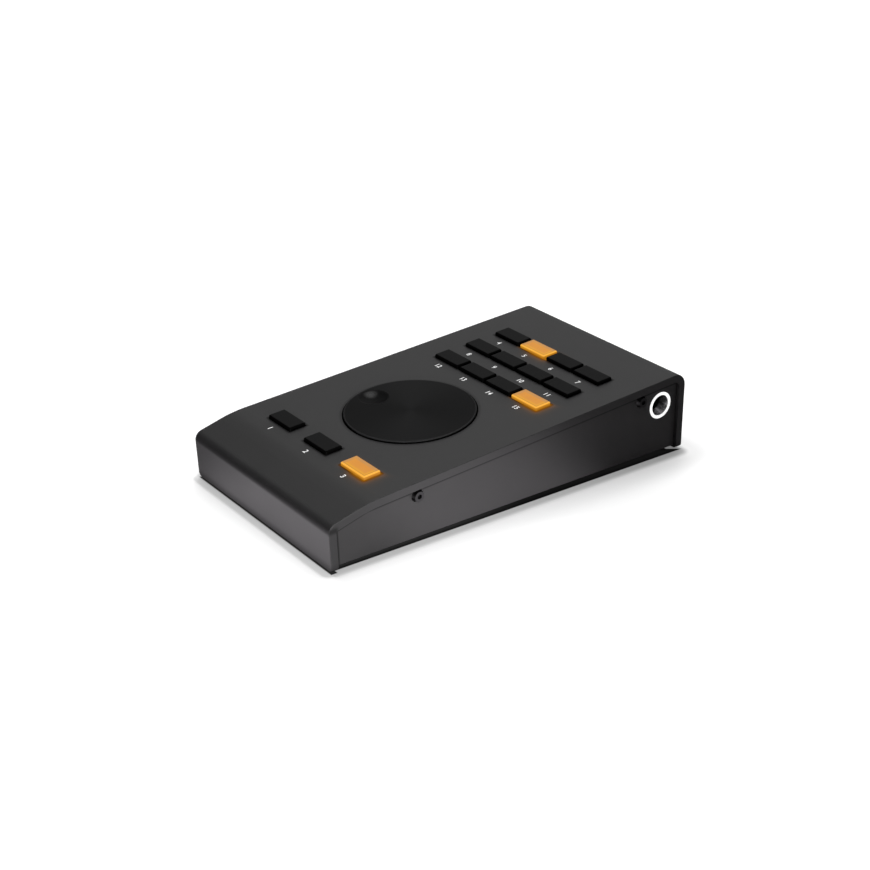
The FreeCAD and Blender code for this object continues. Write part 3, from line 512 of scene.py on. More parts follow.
class Finish:
    """A finish that makes one material."""

    name: str

    def paint(self, painter: Painter) -> None:
        """Builds the nodes."""
        raise NotImplementedError

    def material(self) -> bpy.types.Material:
        """Makes the material, or finds it when it is made.

        Returns:
            The material.
        """
        made = bpy.data.materials.get(self.name)
        if made is None:
            made = bpy.data.materials.new(self.name)
            made.use_nodes = True
            self.paint(Painter(made.node_tree))
        return made


@dataclass(frozen=True)
class SatinCoat(Finish):
    """Satin coat on metal, with a fine grain and faint uneven gloss."""

    name: str
    colour: Colour
    roughness: float = 0.5
    specular: float = 0.3
    grain: float = 0.16 * MM
    grain_depth: float = 0.006 * MM
    cloud: float = 22 * MM

    def values(self, painter: Painter, place: Signal) -> dict[str, Value]:
        """What the coat feeds its shader.

        Args:
            painter: The material's painter.
            place: The point on the surface.

        Returns:
            The shader's values by socket.
        """
        grain = place.noise(self.grain, detail=3.0, rough=0.6)
        cloud = place.noise(self.cloud)
        lightness = (grain * 0.5 + cloud * 0.5).rise(0.3, 0.7)
        return {
            "Base Color": painter.mix(lightness, scaled(self.colour, 0.88), scaled(self.colour, 1.12)),
            "Roughness": cloud.between(self.roughness - 0.05, self.roughness + 0.05),
            "Specular IOR Level": self.specular,
            "Normal": painter.bump(grain, 0.5, self.grain_depth),
        }

    def paint(self, painter: Painter) -> None:
        """Builds the nodes."""
        painter.surface(self.values(painter, painter.place()))


@dataclass(frozen=True)
class PanelCoat(SatinCoat):
    """The coat of the inset side panels, with the shadow that the cover's edge leaves on them."""

    shade: float = 0.5
    shade_band: Band = (4.8 * MM, 5.6 * MM)

    def paint(self, painter: Painter) -> None:
        """Builds the nodes.

        Args:
            painter: The material's painter.
        """
        place = painter.place()
        shadow = OUTLINE.depth(place).fall(*self.shade_band) * self.shade
        painter.shaded_surface(self.values(painter, place), shadow, {})


@dataclass(frozen=True)
class CoverCoat(SatinCoat):
    """The cover's coat: shaded by keys, wheel, floor and front bend, and lit by the lit keys."""

    lit: tuple[tuple[float, float], ...] = ()
    spill: Colour = (0.40, 0.140, 0.002)
    reach: float = 1.15 * MM
    near_side_band: Band = (1 * MM, 7 * MM)
    far_stretch: float = 2.2
    far_shine: float = 0.5
    lit_band: Band = (0.8 * MM, 2.2 * MM)
    lit_shade: float = 0.8
    key_band: Band = (0.4 * MM, 1.5 * MM)
    key_shade: float = 0.5
    wheel: tuple[float, float] = WHEEL_PLACE
    wheel_edge: float = 29.3 * MM
    wheel_band: Band = (0.1 * MM, 1.6 * MM)
    wheel_shade: float = 0.25
    foot_band: Band = (1 * MM, 5 * MM)
    foot_shade: float = 0.38
    front_wall_band: Band = (90 * MM, 92 * MM)
    bend_height: float = 19.0 * MM
    bend_band: Band = (0.2 * MM, 2.2 * MM)
    bend_shade: float = 0.5
    ramp_band: Band = (0.99, 0.999)
    ramp_shade: float = 0.09

    def paint(self, painter: Painter) -> None:
        """Builds the nodes.

        Args:
            painter: The material's painter.
        """
        place = painter.place()
        glow, near_lit = self._lit_keys(place)
        kept = (1.0 - near_lit * self.lit_shade) * (1.0 - self._beside_pieces(place))
        shadow = 1.0 - kept * (1.0 - self._on_walls(place, painter.normal()))
        light = {"Emission Color": painter.mix(glow, NO_LIGHT, self.spill), "Emission Strength": 1.0}
        painter.shaded_surface(self.values(painter, place), shadow, light)

    def _lit_keys(self, place: Signal) -> tuple[Signal, Signal]:
        """How strongly the lit keys shine on a point, and how near they are, most to the front and the right.

        Args:
            place: The point on the surface.

        Returns:
            The shine and the nearness, each from 0 to 1.
        """
        across, up_slope = DECK.spot(place)
        shine: Number = 0.0
        near: Number = 0.0
        for u, v in self.lit:
            aside, ahead = across - u, v - up_slope
            near_side = (aside + ahead).rise(*self.near_side_band)
            distance = KEYS.outside(aside, ahead) * near_side.between(self.far_stretch, 1.0)
            brightness = near_side.between(self.far_shine, 1.0)
            shine = (distance * (-1.0 / self.reach)).exp() * brightness + shine
            near = distance.fall(*self.lit_band) + near
        return shine.clamp(), near.clamp()

    def _beside_pieces(self, place: Signal) -> Signal:
        """How strongly any key or the wheel shades a point of the deck.

        Args:
            place: The point on the surface.

        Returns:
            The shade, from 0 to 1.
        """
        from_key = KEYS.outside(*KEYS.from_key(place))
        across, up_slope = DECK.spot(place)
        from_wheel = diagonal(across - self.wheel[0], up_slope - self.wheel[1]) - self.wheel_edge
        by_key = from_key.fall(*self.key_band) * self.key_shade
        by_wheel = from_wheel.fall(*self.wheel_band) * self.wheel_shade
        return by_key.at_least(by_wheel)

    def _on_walls(self, place: Signal, outward: Signal) -> Signal:
        """How strongly a point is shaded at the walls' feet, below the front bend and on the ramp.

        Args:
            place: The point on the surface.
            outward: The surface's outward direction there.

        Returns:
            The shade, from 0 to 1.
        """
        height = place.along(UP)
        foot = height.fall(*self.foot_band) * self.foot_shade
        at_front = place.along(-REAR).rise(*self.front_wall_band)
        bend = abs(height - self.bend_height).fall(*self.bend_band) * at_front * self.bend_shade
        faces_ramp = outward.along(OUTLINE.outward(OUTLINE.ramp[0]))
        return (foot + bend + faces_ramp.rise(*self.ramp_band) * self.ramp_shade).clamp()


@dataclass(frozen=True)
class TurnedMetal(Finish):
    """Anodised metal with fine turning rings round an axis on the deck, a polished dimple, and painted
    highlight and shade.
    """

    name: str
    colour: Colour
    centre: tuple[float, float] = WHEEL_PLACE
    roughness: float = 0.42
    specular: float = 0.055
    ring: float = 0.35 * MM
    ring_depth: float = 0.01 * MM
    cloud: float = 9 * MM
    edge_band: Band = (27.9 * MM, 28.1 * MM)
    # painted highlight: a lighter colour on the rounding of the top edge
    edge_highlight: Colour = (0.02, 0.02, 0.0205)
    facing_band: Band = (0.1, 0.4)
    # painted shade: near black on the wheel's side wall
    side_shade: Colour = (0.0008, 0.0008, 0.0008)
    dimple: tuple[float, float] = (-20.03 * MM, -4.81 * MM)
    dimple_band: Band = (5.8 * MM, 6.8 * MM)
    # painted shade: a darker colour inside the dimple
    dimple_shade: Colour = (0.0022, 0.0022, 0.0023)
    polished: tuple[float, float] = (-4.7 * MM, 1.6 * MM)
    polished_band: Band = (0.6 * MM, 4.2 * MM)
    polished_roughness: float = 0.25

    def paint(self, painter: Painter) -> None:
        """Builds the nodes.

        Args:
            painter: The material's painter.
        """
        place = painter.place()
        u, v = DECK.spot(place)
        across, up_slope = u - self.centre[0], v - self.centre[1]
        radius = diagonal(across, up_slope)
        aside, behind = across - self.dimple[0], up_slope - self.dimple[1]
        in_dimple = diagonal(aside, behind).fall(*self.dimple_band)
        off_polished = diagonal(aside - self.polished[0], behind - self.polished[1])
        values = {"W": radius, "Scale": 1.0 / self.ring, "Detail": 3.0}
        rings = painter.out("ShaderNodeTexNoise", 0, {"noise_dimensions": "1D"}, values)
        cloud = place.noise(self.cloud, detail=3.0)
        face = painter.mix(cloud * 0.5 + rings * 0.5, scaled(self.colour, 0.84), scaled(self.colour, 1.18))
        # painted shade inside the dimple
        flat = painter.mix(in_dimple, face, self.dimple_shade)
        # painted highlight on the rounding of the top edge
        top = painter.mix(radius.rise(*self.edge_band), flat, self.edge_highlight)
        facing = painter.normal().along(DECK.up)
        painter.surface({
            # painted shade on the side wall, where the surface faces away from the deck's normal
            "Base Color": painter.mix(facing.rise(*self.facing_band), self.side_shade, top),
            "Roughness": rings.between(self.roughness - 0.06, self.roughness + 0.06),
            "Anisotropic": 0.75,
            "Specular IOR Level": self.specular,
            "Coat Weight": in_dimple * off_polished.fall(*self.polished_band),
            "Coat Roughness": self.polished_roughness,
            "Normal": painter.bump(rings, 0.35, self.ring_depth),
        })


@dataclass(frozen=True)
class Moulding(Finish):
    """Moulded plastic or rubber with an eroded grain, and a painted glow where a shine is given."""

    name: str
    colour: Colour
    roughness: float = 0.5
    specular: float = 0.3
    grain: float = 0.12 * MM
    grain_depth: float = 0.008 * MM
    cloud: float = 6 * MM
    shine: Colour = NO_LIGHT

    def paint(self, painter: Painter) -> None:
        """Builds the nodes.

        Args:
            painter: The material's painter.
        """
        place = painter.place()
        grain = place.noise(self.grain, rough=0.6)
        cloud = place.noise(self.cloud, detail=3.0)
        values = {
            "Base Color": self.tint(painter, place, cloud * 0.6 + grain * 0.4),
            "Roughness": grain.between(self.roughness - 0.06, self.roughness + 0.06),
            "Specular IOR Level": self.specular,
            "Normal": painter.bump(grain, 0.4, self.grain_depth),
        }
        # painted glow: light given off by the moulding itself
        if max(self.shine) > 0.0:
            values["Emission Color"] = self.shine
            values["Emission Strength"] = 1.0
        painter.surface(values)

    def tint(self, painter: Painter, place: Signal, blotches: Signal) -> Signal:
        """The moulding's colour.

        Args:
            painter: The material's painter.
            place: The point on the surface; not used here.
            blotches: How light the moulding is there, from 0 to 1.

        Returns:
            The colour.
        """
        return painter.mix(blotches, scaled(self.colour, 0.87), scaled(self.colour, 1.15))


@dataclass(frozen=True)
class DarkCap(Moulding):
    """Unlit key cap, whose rounded edges and sides get painted shade that makes them darker than its roof."""

    # painted shade: the colour of the cap's rounded edges and sides
    side: Colour = (0.0006, 0.0006, 0.0006)
    near_band: Band = (0.5 * MM, 0.95 * MM)
    far_band: Band = (0.1 * MM, 0.6 * MM)

    def tint(self, painter: Painter, place: Signal, blotches: Signal) -> Signal:
        """The cap's colour.

        Args:
            painter: The material's painter.
            place: The point on the surface.
            blotches: How light the moulding is there, from 0 to 1.

        Returns:
            The colour.
        """
        near, far = KEYS.borders(place)
        on_roof = near.rise(*self.near_band) * far.rise(*self.far_band)
        # painted shade on the rounded edges and sides
        return painter.mix(on_roof, self.side, super().tint(painter, place, blotches))


@dataclass(frozen=True)
class LitCap(Finish):
    """Smoked key cap lit from behind: roof golden to the front and right in painted highlights, sides darker
    downwards.
    """

    name: str
    roof: Colour = (0.596, 0.229, 0.018)
    # painted highlight and shade: the roof lighter near its front and right edges, darker near the rear and
    # left
    roof_highlight: Colour = (0.657, 0.300, 0.008)
    roof_shade: Colour = (0.444, 0.216, 0.060)
    roof_band: Band = (1.2 * MM, 2.8 * MM)
    # painted shade: a darker line just inside the front and right edges
    line: Colour = (0.34, 0.125, 0.004)
    line_start: Band = (0.5 * MM, 0.75 * MM)
    line_end: Band = (0.85 * MM, 1.15 * MM)
    line_depth: float = 0.6
    # painted highlight on the front and right rounded edges, painted shade on the rear and left ones
    near_edge_highlight: Colour = (0.93, 0.46, 0.060)
    near_band: Band = (0.4 * MM, 0.65 * MM)
    far_edge_shade: Colour = (0.40, 0.19, 0.070)
    far_band: Band = (0.1 * MM, 0.5 * MM)
    side_top: Colour = (0.62, 0.26, 0.020)
    side_foot: Colour = (0.30, 0.105, 0.003)
    side_band: Band = (-0.1 * MM, 1.15 * MM)
    # painted shade: the sides that face right are darker
    right_band: Band = (0.3, 0.9)
    right_light: float = 0.7
    facing_band: Band = (0.2, 0.6)
    smoke_dark: Colour = (0.10, 0.040, 0.010)
    smoke_light: Colour = (0.13, 0.052, 0.013)
    grain: float = 0.12 * MM
    grain_depth: float = 0.006 * MM
    cloud: float = 5 * MM

    def _top(self, painter: Painter, place: Signal) -> Signal:
        """The roof's and rounded edges' colour: painted highlights front and right, painted shade rear and
        left.

        Args:
            painter: The material's painter.
            place: The point on the surface.

        Returns:
            The colour.
        """
        near, far = KEYS.borders(place)
        roof = painter.mix(near.rise(*self.roof_band), self.roof_highlight, self.roof)
        roof = painter.mix(far.rise(*self.roof_band), self.roof_shade, roof)
        # painted shade: a darker line just inside the front and right edges
        on_shade_line = near.rise(*self.line_start) * near.fall(*self.line_end)
        roof = painter.mix(on_shade_line * self.line_depth, roof, self.line)
        edged = painter.mix(near.rise(*self.near_band), self.near_edge_highlight, roof)
        return painter.mix(far.rise(*self.far_band), self.far_edge_shade, edged)

    def paint(self, painter: Painter) -> None:
        """Builds the nodes.

        Args:
            painter: The material's painter.
        """
        place = painter.place()
        outward = painter.normal()
        facing = outward.along(DECK.up).rise(*self.facing_band)
        rightward = outward.along(RIGHT).rise(*self.right_band)
        cloud = place.noise(self.cloud, detail=3.0)
        grain = place.noise(self.grain, rough=0.6)
        height = DECK.rise(place).rise(*self.side_band)
        # painted shade: the sides that face right are darker
        side_light = height * rightward.between(1.0, self.right_light)
        side = painter.mix(side_light, self.side_foot, self.side_top)
        lit = painter.mix(facing, side, self._top(painter, place))
        painter.surface({
            "Base Color": painter.mix(grain, self.smoke_dark, self.smoke_light),
            "Roughness": grain.between(0.34, 0.46),
            "Specular IOR Level": 0.2,
            "Normal": painter.bump(grain, 0.3, self.grain_depth),
            "Emission Color": painter.mix(cloud.rise(0.3, 0.7) * 0.2, lit, scaled(self.roof_highlight, 1.08)),
            "Emission Strength": 1.0,
        })


@dataclass(frozen=True)
class PlainMetal(Finish):
    """Bare or plated metal with fine marks."""

    name: str
    colour: Colour
    roughness: float = 0.3
    mark: float = 0.3 * MM
    mark_depth: float = 0.01 * MM
    cloud: float = 4 * MM

    def paint(self, painter: Painter) -> None:
        """Builds the nodes.

        Args:
            painter: The material's painter.
        """
        place = painter.place()
        marks = place.noise(self.mark, detail=4.0, rough=0.6)
        cloud = place.noise(self.cloud)
        lightness = cloud * 0.6 + marks * 0.4
        painter.surface({
            "Base Color": painter.mix(lightness, scaled(self.colour, 0.85), scaled(self.colour, 1.1)),
            "Metallic": 1.0,
            "Roughness": marks.between(self.roughness - 0.08, self.roughness + 0.08),
            "Normal": painter.bump(marks, 0.25, self.mark_depth),
        })


@dataclass(frozen=True)
class Ink(Finish):
    """Printed ink with a faint uneven cover and a faint painted glow of its own colour."""

    name: str
    colour: Colour
    blot: float = 0.2 * MM
    cover_band: Band = (0.25, 0.5)
    shine: float = 0.15

    def paint(self, painter: Painter) -> None:
        """Builds the nodes.

        Args:
            painter: The material's painter.
        """
        cover = painter.place().noise(self.blot)
        painter.surface({
            "Base Color": painter.mix(cover.rise(*self.cover_band), scaled(self.colour, 0.85), self.colour),
            "Roughness": cover.between(0.5, 0.65),
            # painted glow: the ink gives off faint light of its own colour
            "Emission Color": self.colour,
            "Emission Strength": self.shine,
        })


@dataclass(frozen=True)
class BoardLaminate(Finish):
    """Green solder resist over fine copper lines."""

    name: str
    resist: Colour = (0.010, 0.070, 0.030)
    copper: Colour = (0.018, 0.120, 0.050)
    cells_per_metre: float = 420.0
    line_width: float = 0.03
    line_depth: float = 0.02 * MM
    cloud: float = 3 * MM

    def paint(self, painter: Painter) -> None:
        """Builds the nodes.

        Args:
            painter: The material's painter.
        """
        place = painter.place()
        values = {"Vector": place, "Scale": self.cells_per_metre, "Mortar Size": self.line_width}
        cells = painter.out("ShaderNodeTexBrick", 1, {"offset": 0.5}, values)
        cloud = place.noise(self.cloud)
        painter.surface({
            "Base Color": painter.mix(cells * 0.8 + cloud * 0.2, self.resist, self.copper),
            "Roughness": cloud.between(0.28, 0.4),
            "Normal": painter.bump(cells, 0.2, self.line_depth),
        })


STEEL = PlainMetal("plated_steel_finish", (0.55, 0.55, 0.54), roughness=0.32)
BLACK = Moulding("black_plastic_finish", (0.018, 0.018, 0.018), roughness=0.45)


def dress(node: str, finish: Finish) -> None:
    """Gives a node of the frame its finish.

    Args:
        node: The node's name.
        finish: The finish.
    """
    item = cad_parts[node]
    item.data.materials.clear()
    item.data.materials.append(finish.material())
    log.info("%s: %s", node, finish.name)


@dataclass
class KeyField:
    """The fifteen keys, their switches, their lamps and the numbers printed before them."""

    number_height: float = 2.5 * MM
    height_in_font: float = 0.7
    number_weight: float = 0.05 * MM
    number_ahead: float = 8.6 * MM
    ink_thickness: float = 0.02 * MM
    ink_slot: str = "pale_plastic"
    ink: Finish = Ink("ink_finish", (0.85, 0.85, 0.85))
    lit: tuple[str, ...] = ("front_3", "rear_1_2", "rear_3_4")
    lit_cap: Finish = LitCap("lit_cap_finish")
    dark_cap: Finish = DarkCap("dark_cap_finish", (0.0072, 0.0072, 0.0073), specular=0.055)
    plunger: Finish = Moulding("plunger_finish", (0.6, 0.6, 0.58), roughness=0.4)
    lamp: Finish = Moulding("lamp_finish", (0.8, 0.7, 0.5), roughness=0.15, specular=0.5)
    housing: Finish = BLACK

    def lit_places(self) -> tuple[tuple[float, float], ...]:
        """Where the lit keys are."""
        places = KEYS.places()
        return tuple(places[name] for name in self.lit)

    def number(self, text: str, name: str, u: float, v: float) -> None:
        """Prints a number on the deck.

        Args:
            text: What it says.
            name: The piece's name.
            u: Its middle, along X.
            v: Its middle, up the slope.
        """
        curve = bpy.data.curves.new(name, "FONT")
        curve.body = text
        curve.size = self.number_height / self.height_in_font
        curve.align_x = "CENTER"
        curve.align_y = "CENTER"
        curve.extrude = self.ink_thickness / 2
        curve.offset = self.number_weight
        curve.materials.append(self.ink.material())
        item = add_object(name, curve)
        item.matrix_world = stand(DECK.point(u, v, self.ink_thickness / 2), RIGHT, DECK.back, DECK.up)
        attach(item, "casing")
        log.info("%s printed", name)

    def build(self) -> None:
        """Dresses the keys and prints their numbers."""
        for count, (name, (u, v)) in enumerate(KEYS.places().items(), 1):
            dress(f"cap_{name}", self.lit_cap if name in self.lit else self.dark_cap)
            dress(f"plunger_{name}", self.plunger)
            self.number(str(count), f"number_{name}", u, v - self.number_ahead)
        dress("switch_housings", self.housing)
        dress("key_lamps", self.lamp)


@dataclass
class Case:
    """The bent cover, the tray, the side screws and the feet."""

    keys: KeyField
    cover_colour: Colour = (0.0203, 0.0197, 0.0203)
    tray: Finish = PanelCoat("tray_coat_finish", (0.0255, 0.0245, 0.0252), specular=0.4)
    screws: Finish = PlainMetal("dark_steel_finish", (0.055, 0.055, 0.056))
    feet: Finish = Moulding("rubber_finish", (0.015, 0.015, 0.015), roughness=0.7, specular=0.2)
    blocks: Finish = STEEL

    def build(self) -> None:
        """Dresses the case."""
        lit = self.keys.lit_places()
        dress("top_cover", CoverCoat("cover_coat_finish", self.cover_colour, specular=0.45, lit=lit))
        dress("base_tray", self.tray)
        dress("side_screws", self.screws)
        dress("rubber_feet", self.feet)
        dress("fixing_blocks", self.blocks)


@dataclass
class WheelDrive:
    """The big wheel and the encoder under it."""

    wheel: Finish = TurnedMetal("wheel_finish", (0.0048, 0.0048, 0.005))
    insert: Finish = PlainMetal("brass_finish", (0.60, 0.42, 0.18))
    body: Finish = BLACK
    shaft: Finish = STEEL

    def build(self) -> None:
        """Dresses the wheel and its encoder."""
        dress("wheel", self.wheel)
        dress("wheel_insert", self.insert)
        dress("encoder_body", self.body)
        dress("encoder_collar", self.shaft)
        dress("encoder_shaft", self.shaft)


@dataclass
class Sockets:
    """The jack in the right side and the data inlet at the rear."""

    # The ring's shine is a painted glow, which keeps it white on the shaded side.
    ring: Finish = Moulding("ring_finish", (0.85, 0.85, 0.85), roughness=0.3, specular=0.5,
                            shine=(0.75, 0.75, 0.75))
    sleeve: Finish = PlainMetal("bright_metal_finish", (0.40, 0.40, 0.405), roughness=0.22)
    body: Finish = BLACK
    metal: Finish = STEEL

    def build(self) -> None:
        """Dresses both sockets."""
        dress("jack_ring", self.ring)
        dress("jack_sleeve", self.sleeve)
        dress("jack_body", self.body)
        dress("jack_tags", self.metal)
        dress("inlet_shell", self.metal)
        dress("inlet_tongue", self.body)


@dataclass
class Electronics:
    """The board with its pillars, screws and chips."""

    board: Finish = BoardLaminate("board_finish")
    chips: Finish = BLACK
    metal: Finish = STEEL

    def build(self) -> None:
        """Dresses the board."""
        dress("main_board", self.board)
        dress("board_pillars", self.metal)
        dress("board_screws", self.metal)
        dress("board_chips", self.chips)


@dataclass(frozen=True)
class Lamp:
    """A small spot lamp that looks at a point."""

    name: str
    place: tuple[float, float, float]
    target: tuple[float, float, float]
    width: float
    power: float
    radius: float = 20 * MM

    def build(self) -> None:
        """Makes the lamp."""
        light = bpy.data.lights.new(self.name, "SPOT")
        light.spot_size = math.radians(self.width)
        light.spot_blend = 1.0
        light.shadow_soft_size = self.radius
        light.energy = self.power
        item = add_object(self.name, light)
        item.location = self.place
        item.rotation_mode = "QUATERNION"
        item.rotation_quaternion = (Vector(self.target) - Vector(self.place)).to_track_quat("-Z", "Y")
        log.info("lamp %s", self.name)


@dataclass(frozen=True)
class Softbox:
    """A wide soft light in the surroundings."""

    azimuth: float
    elevation: float
    sharpness: float
    strength: float

    def shine(self, direction: Signal) -> Signal:
        """How bright the softbox makes the surroundings in a direction."""
        middle = toward(self.azimuth, self.elevation)
        return direction.along(middle).at_least(0.0) ** self.sharpness * self.strength


@dataclass(frozen=True)
class FloorCard:
    """What the floor shows in reflections: bright before and beside the object, dark behind it."""

    front_band: Band = (85 * MM, 105 * MM)
    front_across_band: Band = (-75 * MM, -20 * MM)
    front_left: float = 0.4
    front_right: float = 1.75
    side_band: Band = (-20 * MM, 20 * MM)
    side_start_band: Band = (-75 * MM, -30 * MM)
    side_end_band: Band = (25 * MM, 65 * MM)
    side: float = 1.15
    elsewhere: float = 0.16
    green_share: float = 0.95

    def colour(self, painter: Painter) -> Signal:
        """The card's colour.

        Args:
            painter: The floor's painter.

        Returns:
            The colour.
        """
        place = painter.place()
        across = place.along(RIGHT)
        rearward = place.along(REAR)
        front = across.rise(*self.front_across_band).between(self.front_left, self.front_right)
        before = (-rearward).rise(*self.front_band) * front
        beside = across.rise(*self.side_band) * rearward.rise(*self.side_start_band)
        beside = beside * rearward.fall(*self.side_end_band) * self.side
        grey = before + beside + self.elsewhere
        return painter.out("ShaderNodeCombineColor", 0, {}, {0: grey, 1: grey * self.green_share, 2: grey})


@dataclass(frozen=True)
class FloorShade:
    """The painted shadow on the floor: a dark strip under the case, and the shade that the case leaves round
    it.
    """

    tray_half_width: float = 50.15 * MM
    tray_spread: float = 0.0124
    tray_rear: float = 92.4 * MM
    rear_corner: float = 49 * MM
    rear_corner_least: float = -1.6 * MM
    rear_slant: float = 1.5
    rear_share: float = 0.55
    wall_half_width: float = 50.9 * MM
    wall_front: float = 94.2 * MM
    wall_thickness: float = 3.0 * MM
    strip_band: Band = (-0.2 * MM, 0.3 * MM)
    inner_band: Band = (0.3 * MM, 2.5 * MM)
    outer_light: float = 0.007
    inner_light: float = 0.021
    rear_band: Band = (-35 * MM, 15 * MM)
    rear_light: float = 0.3
    front_strip_band: Band = (90.5 * MM, 92.5 * MM)
    front_light: Colour = (0.02, 0.02, 0.02)
    side_band: Band = (2.4 * MM, 6.3 * MM)
    side_depth: float = 0.38
    wide_band: Band = (8 * MM, 22 * MM)
    wide_depth: float = 0.06
    wide_rear_band: Band = (20 * MM, 95 * MM)
    wide_rear_gain: float = 3.2
    front_band: Band = (2.6 * MM, 4.8 * MM)
    front_depth: float = 0.31
    corner_band: Band = (-1 * MM, 1 * MM)

    def parts(self, painter: Painter) -> tuple[Signal, Signal, Signal]:
        """How the case shades the floor under and round it.

        Args:
            painter: The floor's painter.

        Returns:
            1 under the case and 0 elsewhere, how bright it is there, and how dark the floor is just outside.
        """
        place = painter.place()
        across = abs(place.along(RIGHT))
        rearward = place.along(REAR)
        beside = across - self.tray_half_width - rearward * self.tray_spread
        before = -rearward - self.wall_front
        behind = rearward - self.tray_rear
        slant = (across - self.rear_corner).at_least(self.rear_corner_least) * self.rear_slant
        wall = (self.wall_half_width - across).at_most(before + self.wall_thickness)
        inside = ((slant - behind) * self.rear_share).at_most(-beside).at_least(wall).at_most(-before)
        outside = diagonal(*(distance.at_least(0.0) for distance in (beside, before, behind)))
        contact = self._contact(outside, before, rearward)
        return inside.rise(*self.strip_band), self._glimmer(painter, inside, rearward), contact

    def _glimmer(self, painter: Painter, inside: Signal, rearward: Signal) -> Signal:
        """How bright the floor is under the case.

        Args:
            painter: The floor's painter.
            inside: How far a point lies inside the strip.
            rearward: How far it lies to the rear.

        Returns:
            The brightness.
        """
        side = inside.rise(*self.inner_band).between(self.outer_light, self.inner_light)
        side = side * rearward.rise(*self.rear_band).between(1.0, self.rear_light)
        return painter.mix((-rearward).rise(*self.front_strip_band), side, self.front_light)

    def _contact(self, outside: Signal, before: Signal, rearward: Signal) -> Signal:
        """How dark the floor is just outside the case.

        Args:
            outside: How far a point lies outside the case.
            before: How far it lies before the front wall.
            rearward: How far it lies to the rear.

        Returns:
            The darkness, from 0 to 1.
        """
        side = outside.fall(*self.side_band) * self.side_depth
        gain = rearward.rise(*self.wide_rear_band).between(1.0, self.wide_rear_gain)
        wide = outside.fall(*self.wide_band) * self.wide_depth * gain
        front = outside.fall(*self.front_band) * self.front_depth
        is_before = before.rise(*self.corner_band)
        return (side + wide) * (1.0 - is_before) + front * is_before


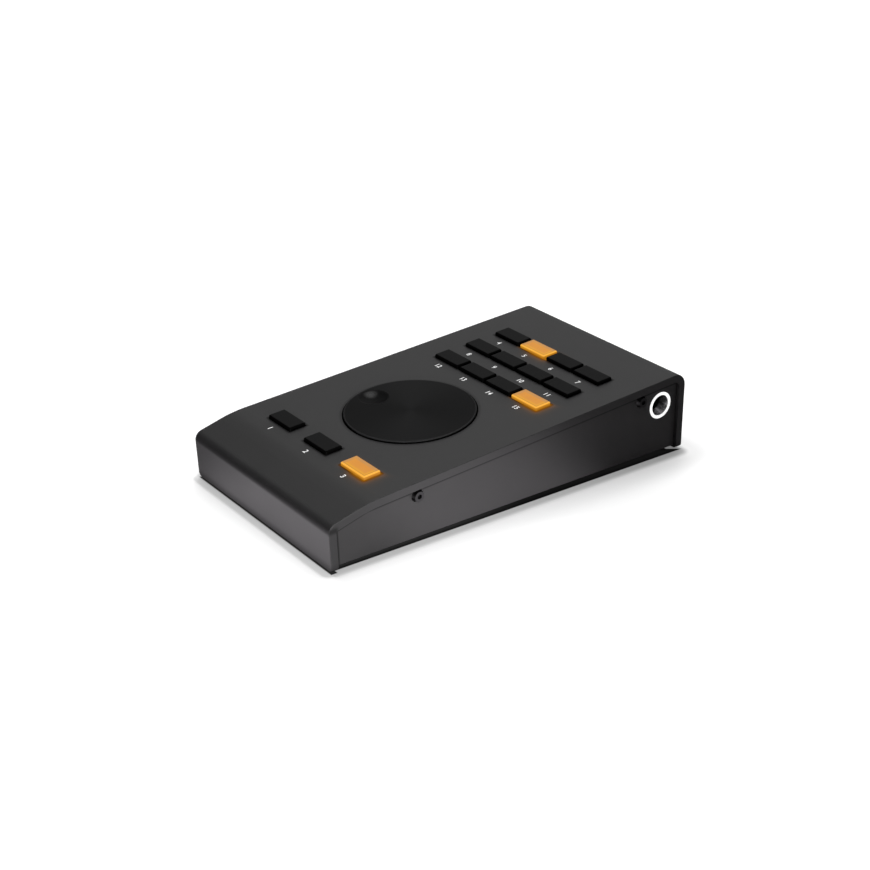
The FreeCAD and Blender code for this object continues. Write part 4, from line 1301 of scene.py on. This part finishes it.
@dataclass
class Studio:
    """Floor, surroundings, lamps and camera."""

    eye: tuple[float, float, float] = (0.50412, -0.39459, 0.32486)
    azimuth: float = 52.2641
    elevation: float = 25.8796
    roll: float = 0.9624
    lens: float = 67.284
    sensor: float = 36.0
    shift: tuple[float, float] = (-0.00175, -0.00181)
    floor_size: float = 8.0
    floor_colour: Colour = (0.8, 0.8, 0.8)
    floor_glow: float = 0.42
    floor_card: FloorCard = FloorCard()
    floor_shade: FloorShade = FloorShade()
    mirrored_share: float = 0.22
    softboxes: tuple[Softbox, ...] = (
        Softbox(azimuth=225.0, elevation=18.0, sharpness=10.0, strength=1.02),
        Softbox(azimuth=225.0, elevation=48.0, sharpness=8.0, strength=3.21),
        Softbox(azimuth=0.0, elevation=90.0, sharpness=6.0, strength=1.62),
    )
    lamps: tuple[Lamp, ...] = (
        Lamp("far", (0.60, -0.60, 0.08), target=(0.05, -0.085, 0.012), width=18.0, power=8.2),
        Lamp("near", (0.28, -0.10, 0.05), target=(0.05, -0.06, 0.012), width=45.0, power=2.5),
    )

    def _paint_floor(self, painter: Painter) -> None:
        """Builds the floor's nodes: white for the camera, the card for reflections, and the case's shade.

        Args:
            painter: The floor's painter.
        """
        seen = painter.seen()
        plain = painter.node("ShaderNodeBsdfDiffuse", {}, {"Color": self.floor_colour})
        glow = painter.glow(WHITE, self.floor_glow)
        bright = painter.node("ShaderNodeAddShader", {}, {0: plain.outputs[0], 1: glow.outputs[0]})
        lit = painter.blend(seen, plain, bright)
        covered, glimmer, contact = self.floor_shade.parts(painter)
        shaded = painter.blend(contact * seen, lit, painter.glow(NO_LIGHT, 0.0))
        card = painter.glow(self.floor_card.colour(painter), 1.0)
        shown = painter.blend(painter.ray(Ray.MIRRORED), shaded, card)
        painter.end(painter.blend(covered, shown, painter.glow(glimmer, 1.0)))

    def build_floor(self) -> None:
        """Makes the white floor, which keeps the object's shadow."""
        half = self.floor_size / 2
        mesh = bpy.data.meshes.new("floor")
        corners = [(-half, -half, 0.0), (half, -half, 0.0), (half, half, 0.0), (-half, half, 0.0)]
        mesh.from_pydata(corners, [], [(0, 1, 2, 3)])
        material = bpy.data.materials.new("floor_finish")
        material.use_nodes = True
        self._paint_floor(Painter(material.node_tree))
        mesh.materials.append(material)
        add_object("floor", mesh)
        log.info("floor")

    def build_world(self) -> None:
        """Makes the surroundings: white for the camera, with soft light from above and the rear left."""
        world = bpy.data.worlds.new("studio")
        bpy.context.scene.world = world
        world.use_nodes = True
        painter = Painter(world.node_tree)
        direction = painter.out("ShaderNodeTexCoord", "Generated", {}, {})
        light: Number = 0.0
        for softbox in self.softboxes:
            light = softbox.shine(direction) + light
        light = light * painter.ray(Ray.MIRRORED).between(1.0, self.mirrored_share)
        seen = painter.seen()
        values = {"Color": WHITE, "Strength": light * (1.0 - seen) + seen}
        background = painter.node("ShaderNodeBackground", {}, values)
        painter.node("ShaderNodeOutputWorld", {}, {"Surface": background.outputs[0]})
        log.info("surroundings")

    def build_camera(self) -> None:
        """Makes the camera at the photograph's view."""
        data = bpy.data.cameras.new("camera")
        data.sensor_width = self.sensor
        data.lens = self.lens
        data.shift_x, data.shift_y = self.shift
        turn, roll = math.radians(self.azimuth), math.radians(self.roll)
        back = toward(self.azimuth, self.elevation)
        level = Vector((math.cos(turn), math.sin(turn), 0.0))
        above = back.cross(level)
        right = level * math.cos(roll) + above * math.sin(roll)
        up = above * math.cos(roll) - level * math.sin(roll)
        camera = add_object("camera", data)
        camera.matrix_world = stand(Vector(self.eye), right, up, back)
        bpy.context.scene.camera = camera
        log.info("camera")

    def build(self) -> None:
        """Makes the whole studio."""
        self.build_floor()
        self.build_world()
        for lamp in self.lamps:
            lamp.build()
        self.build_camera()
        bpy.context.scene.view_settings.view_transform = "Standard"


def main() -> None:
    """Builds everything in order."""
    logging.basicConfig(level=logging.INFO, format="%(name)s: %(message)s")
    keys = KeyField()
    for part in (keys, Case(keys), WheelDrive(), Sockets(), Electronics(), Studio()):
        part.build()
        log.info("%s done", type(part).__name__)


if __name__ == "__main__":
    main()
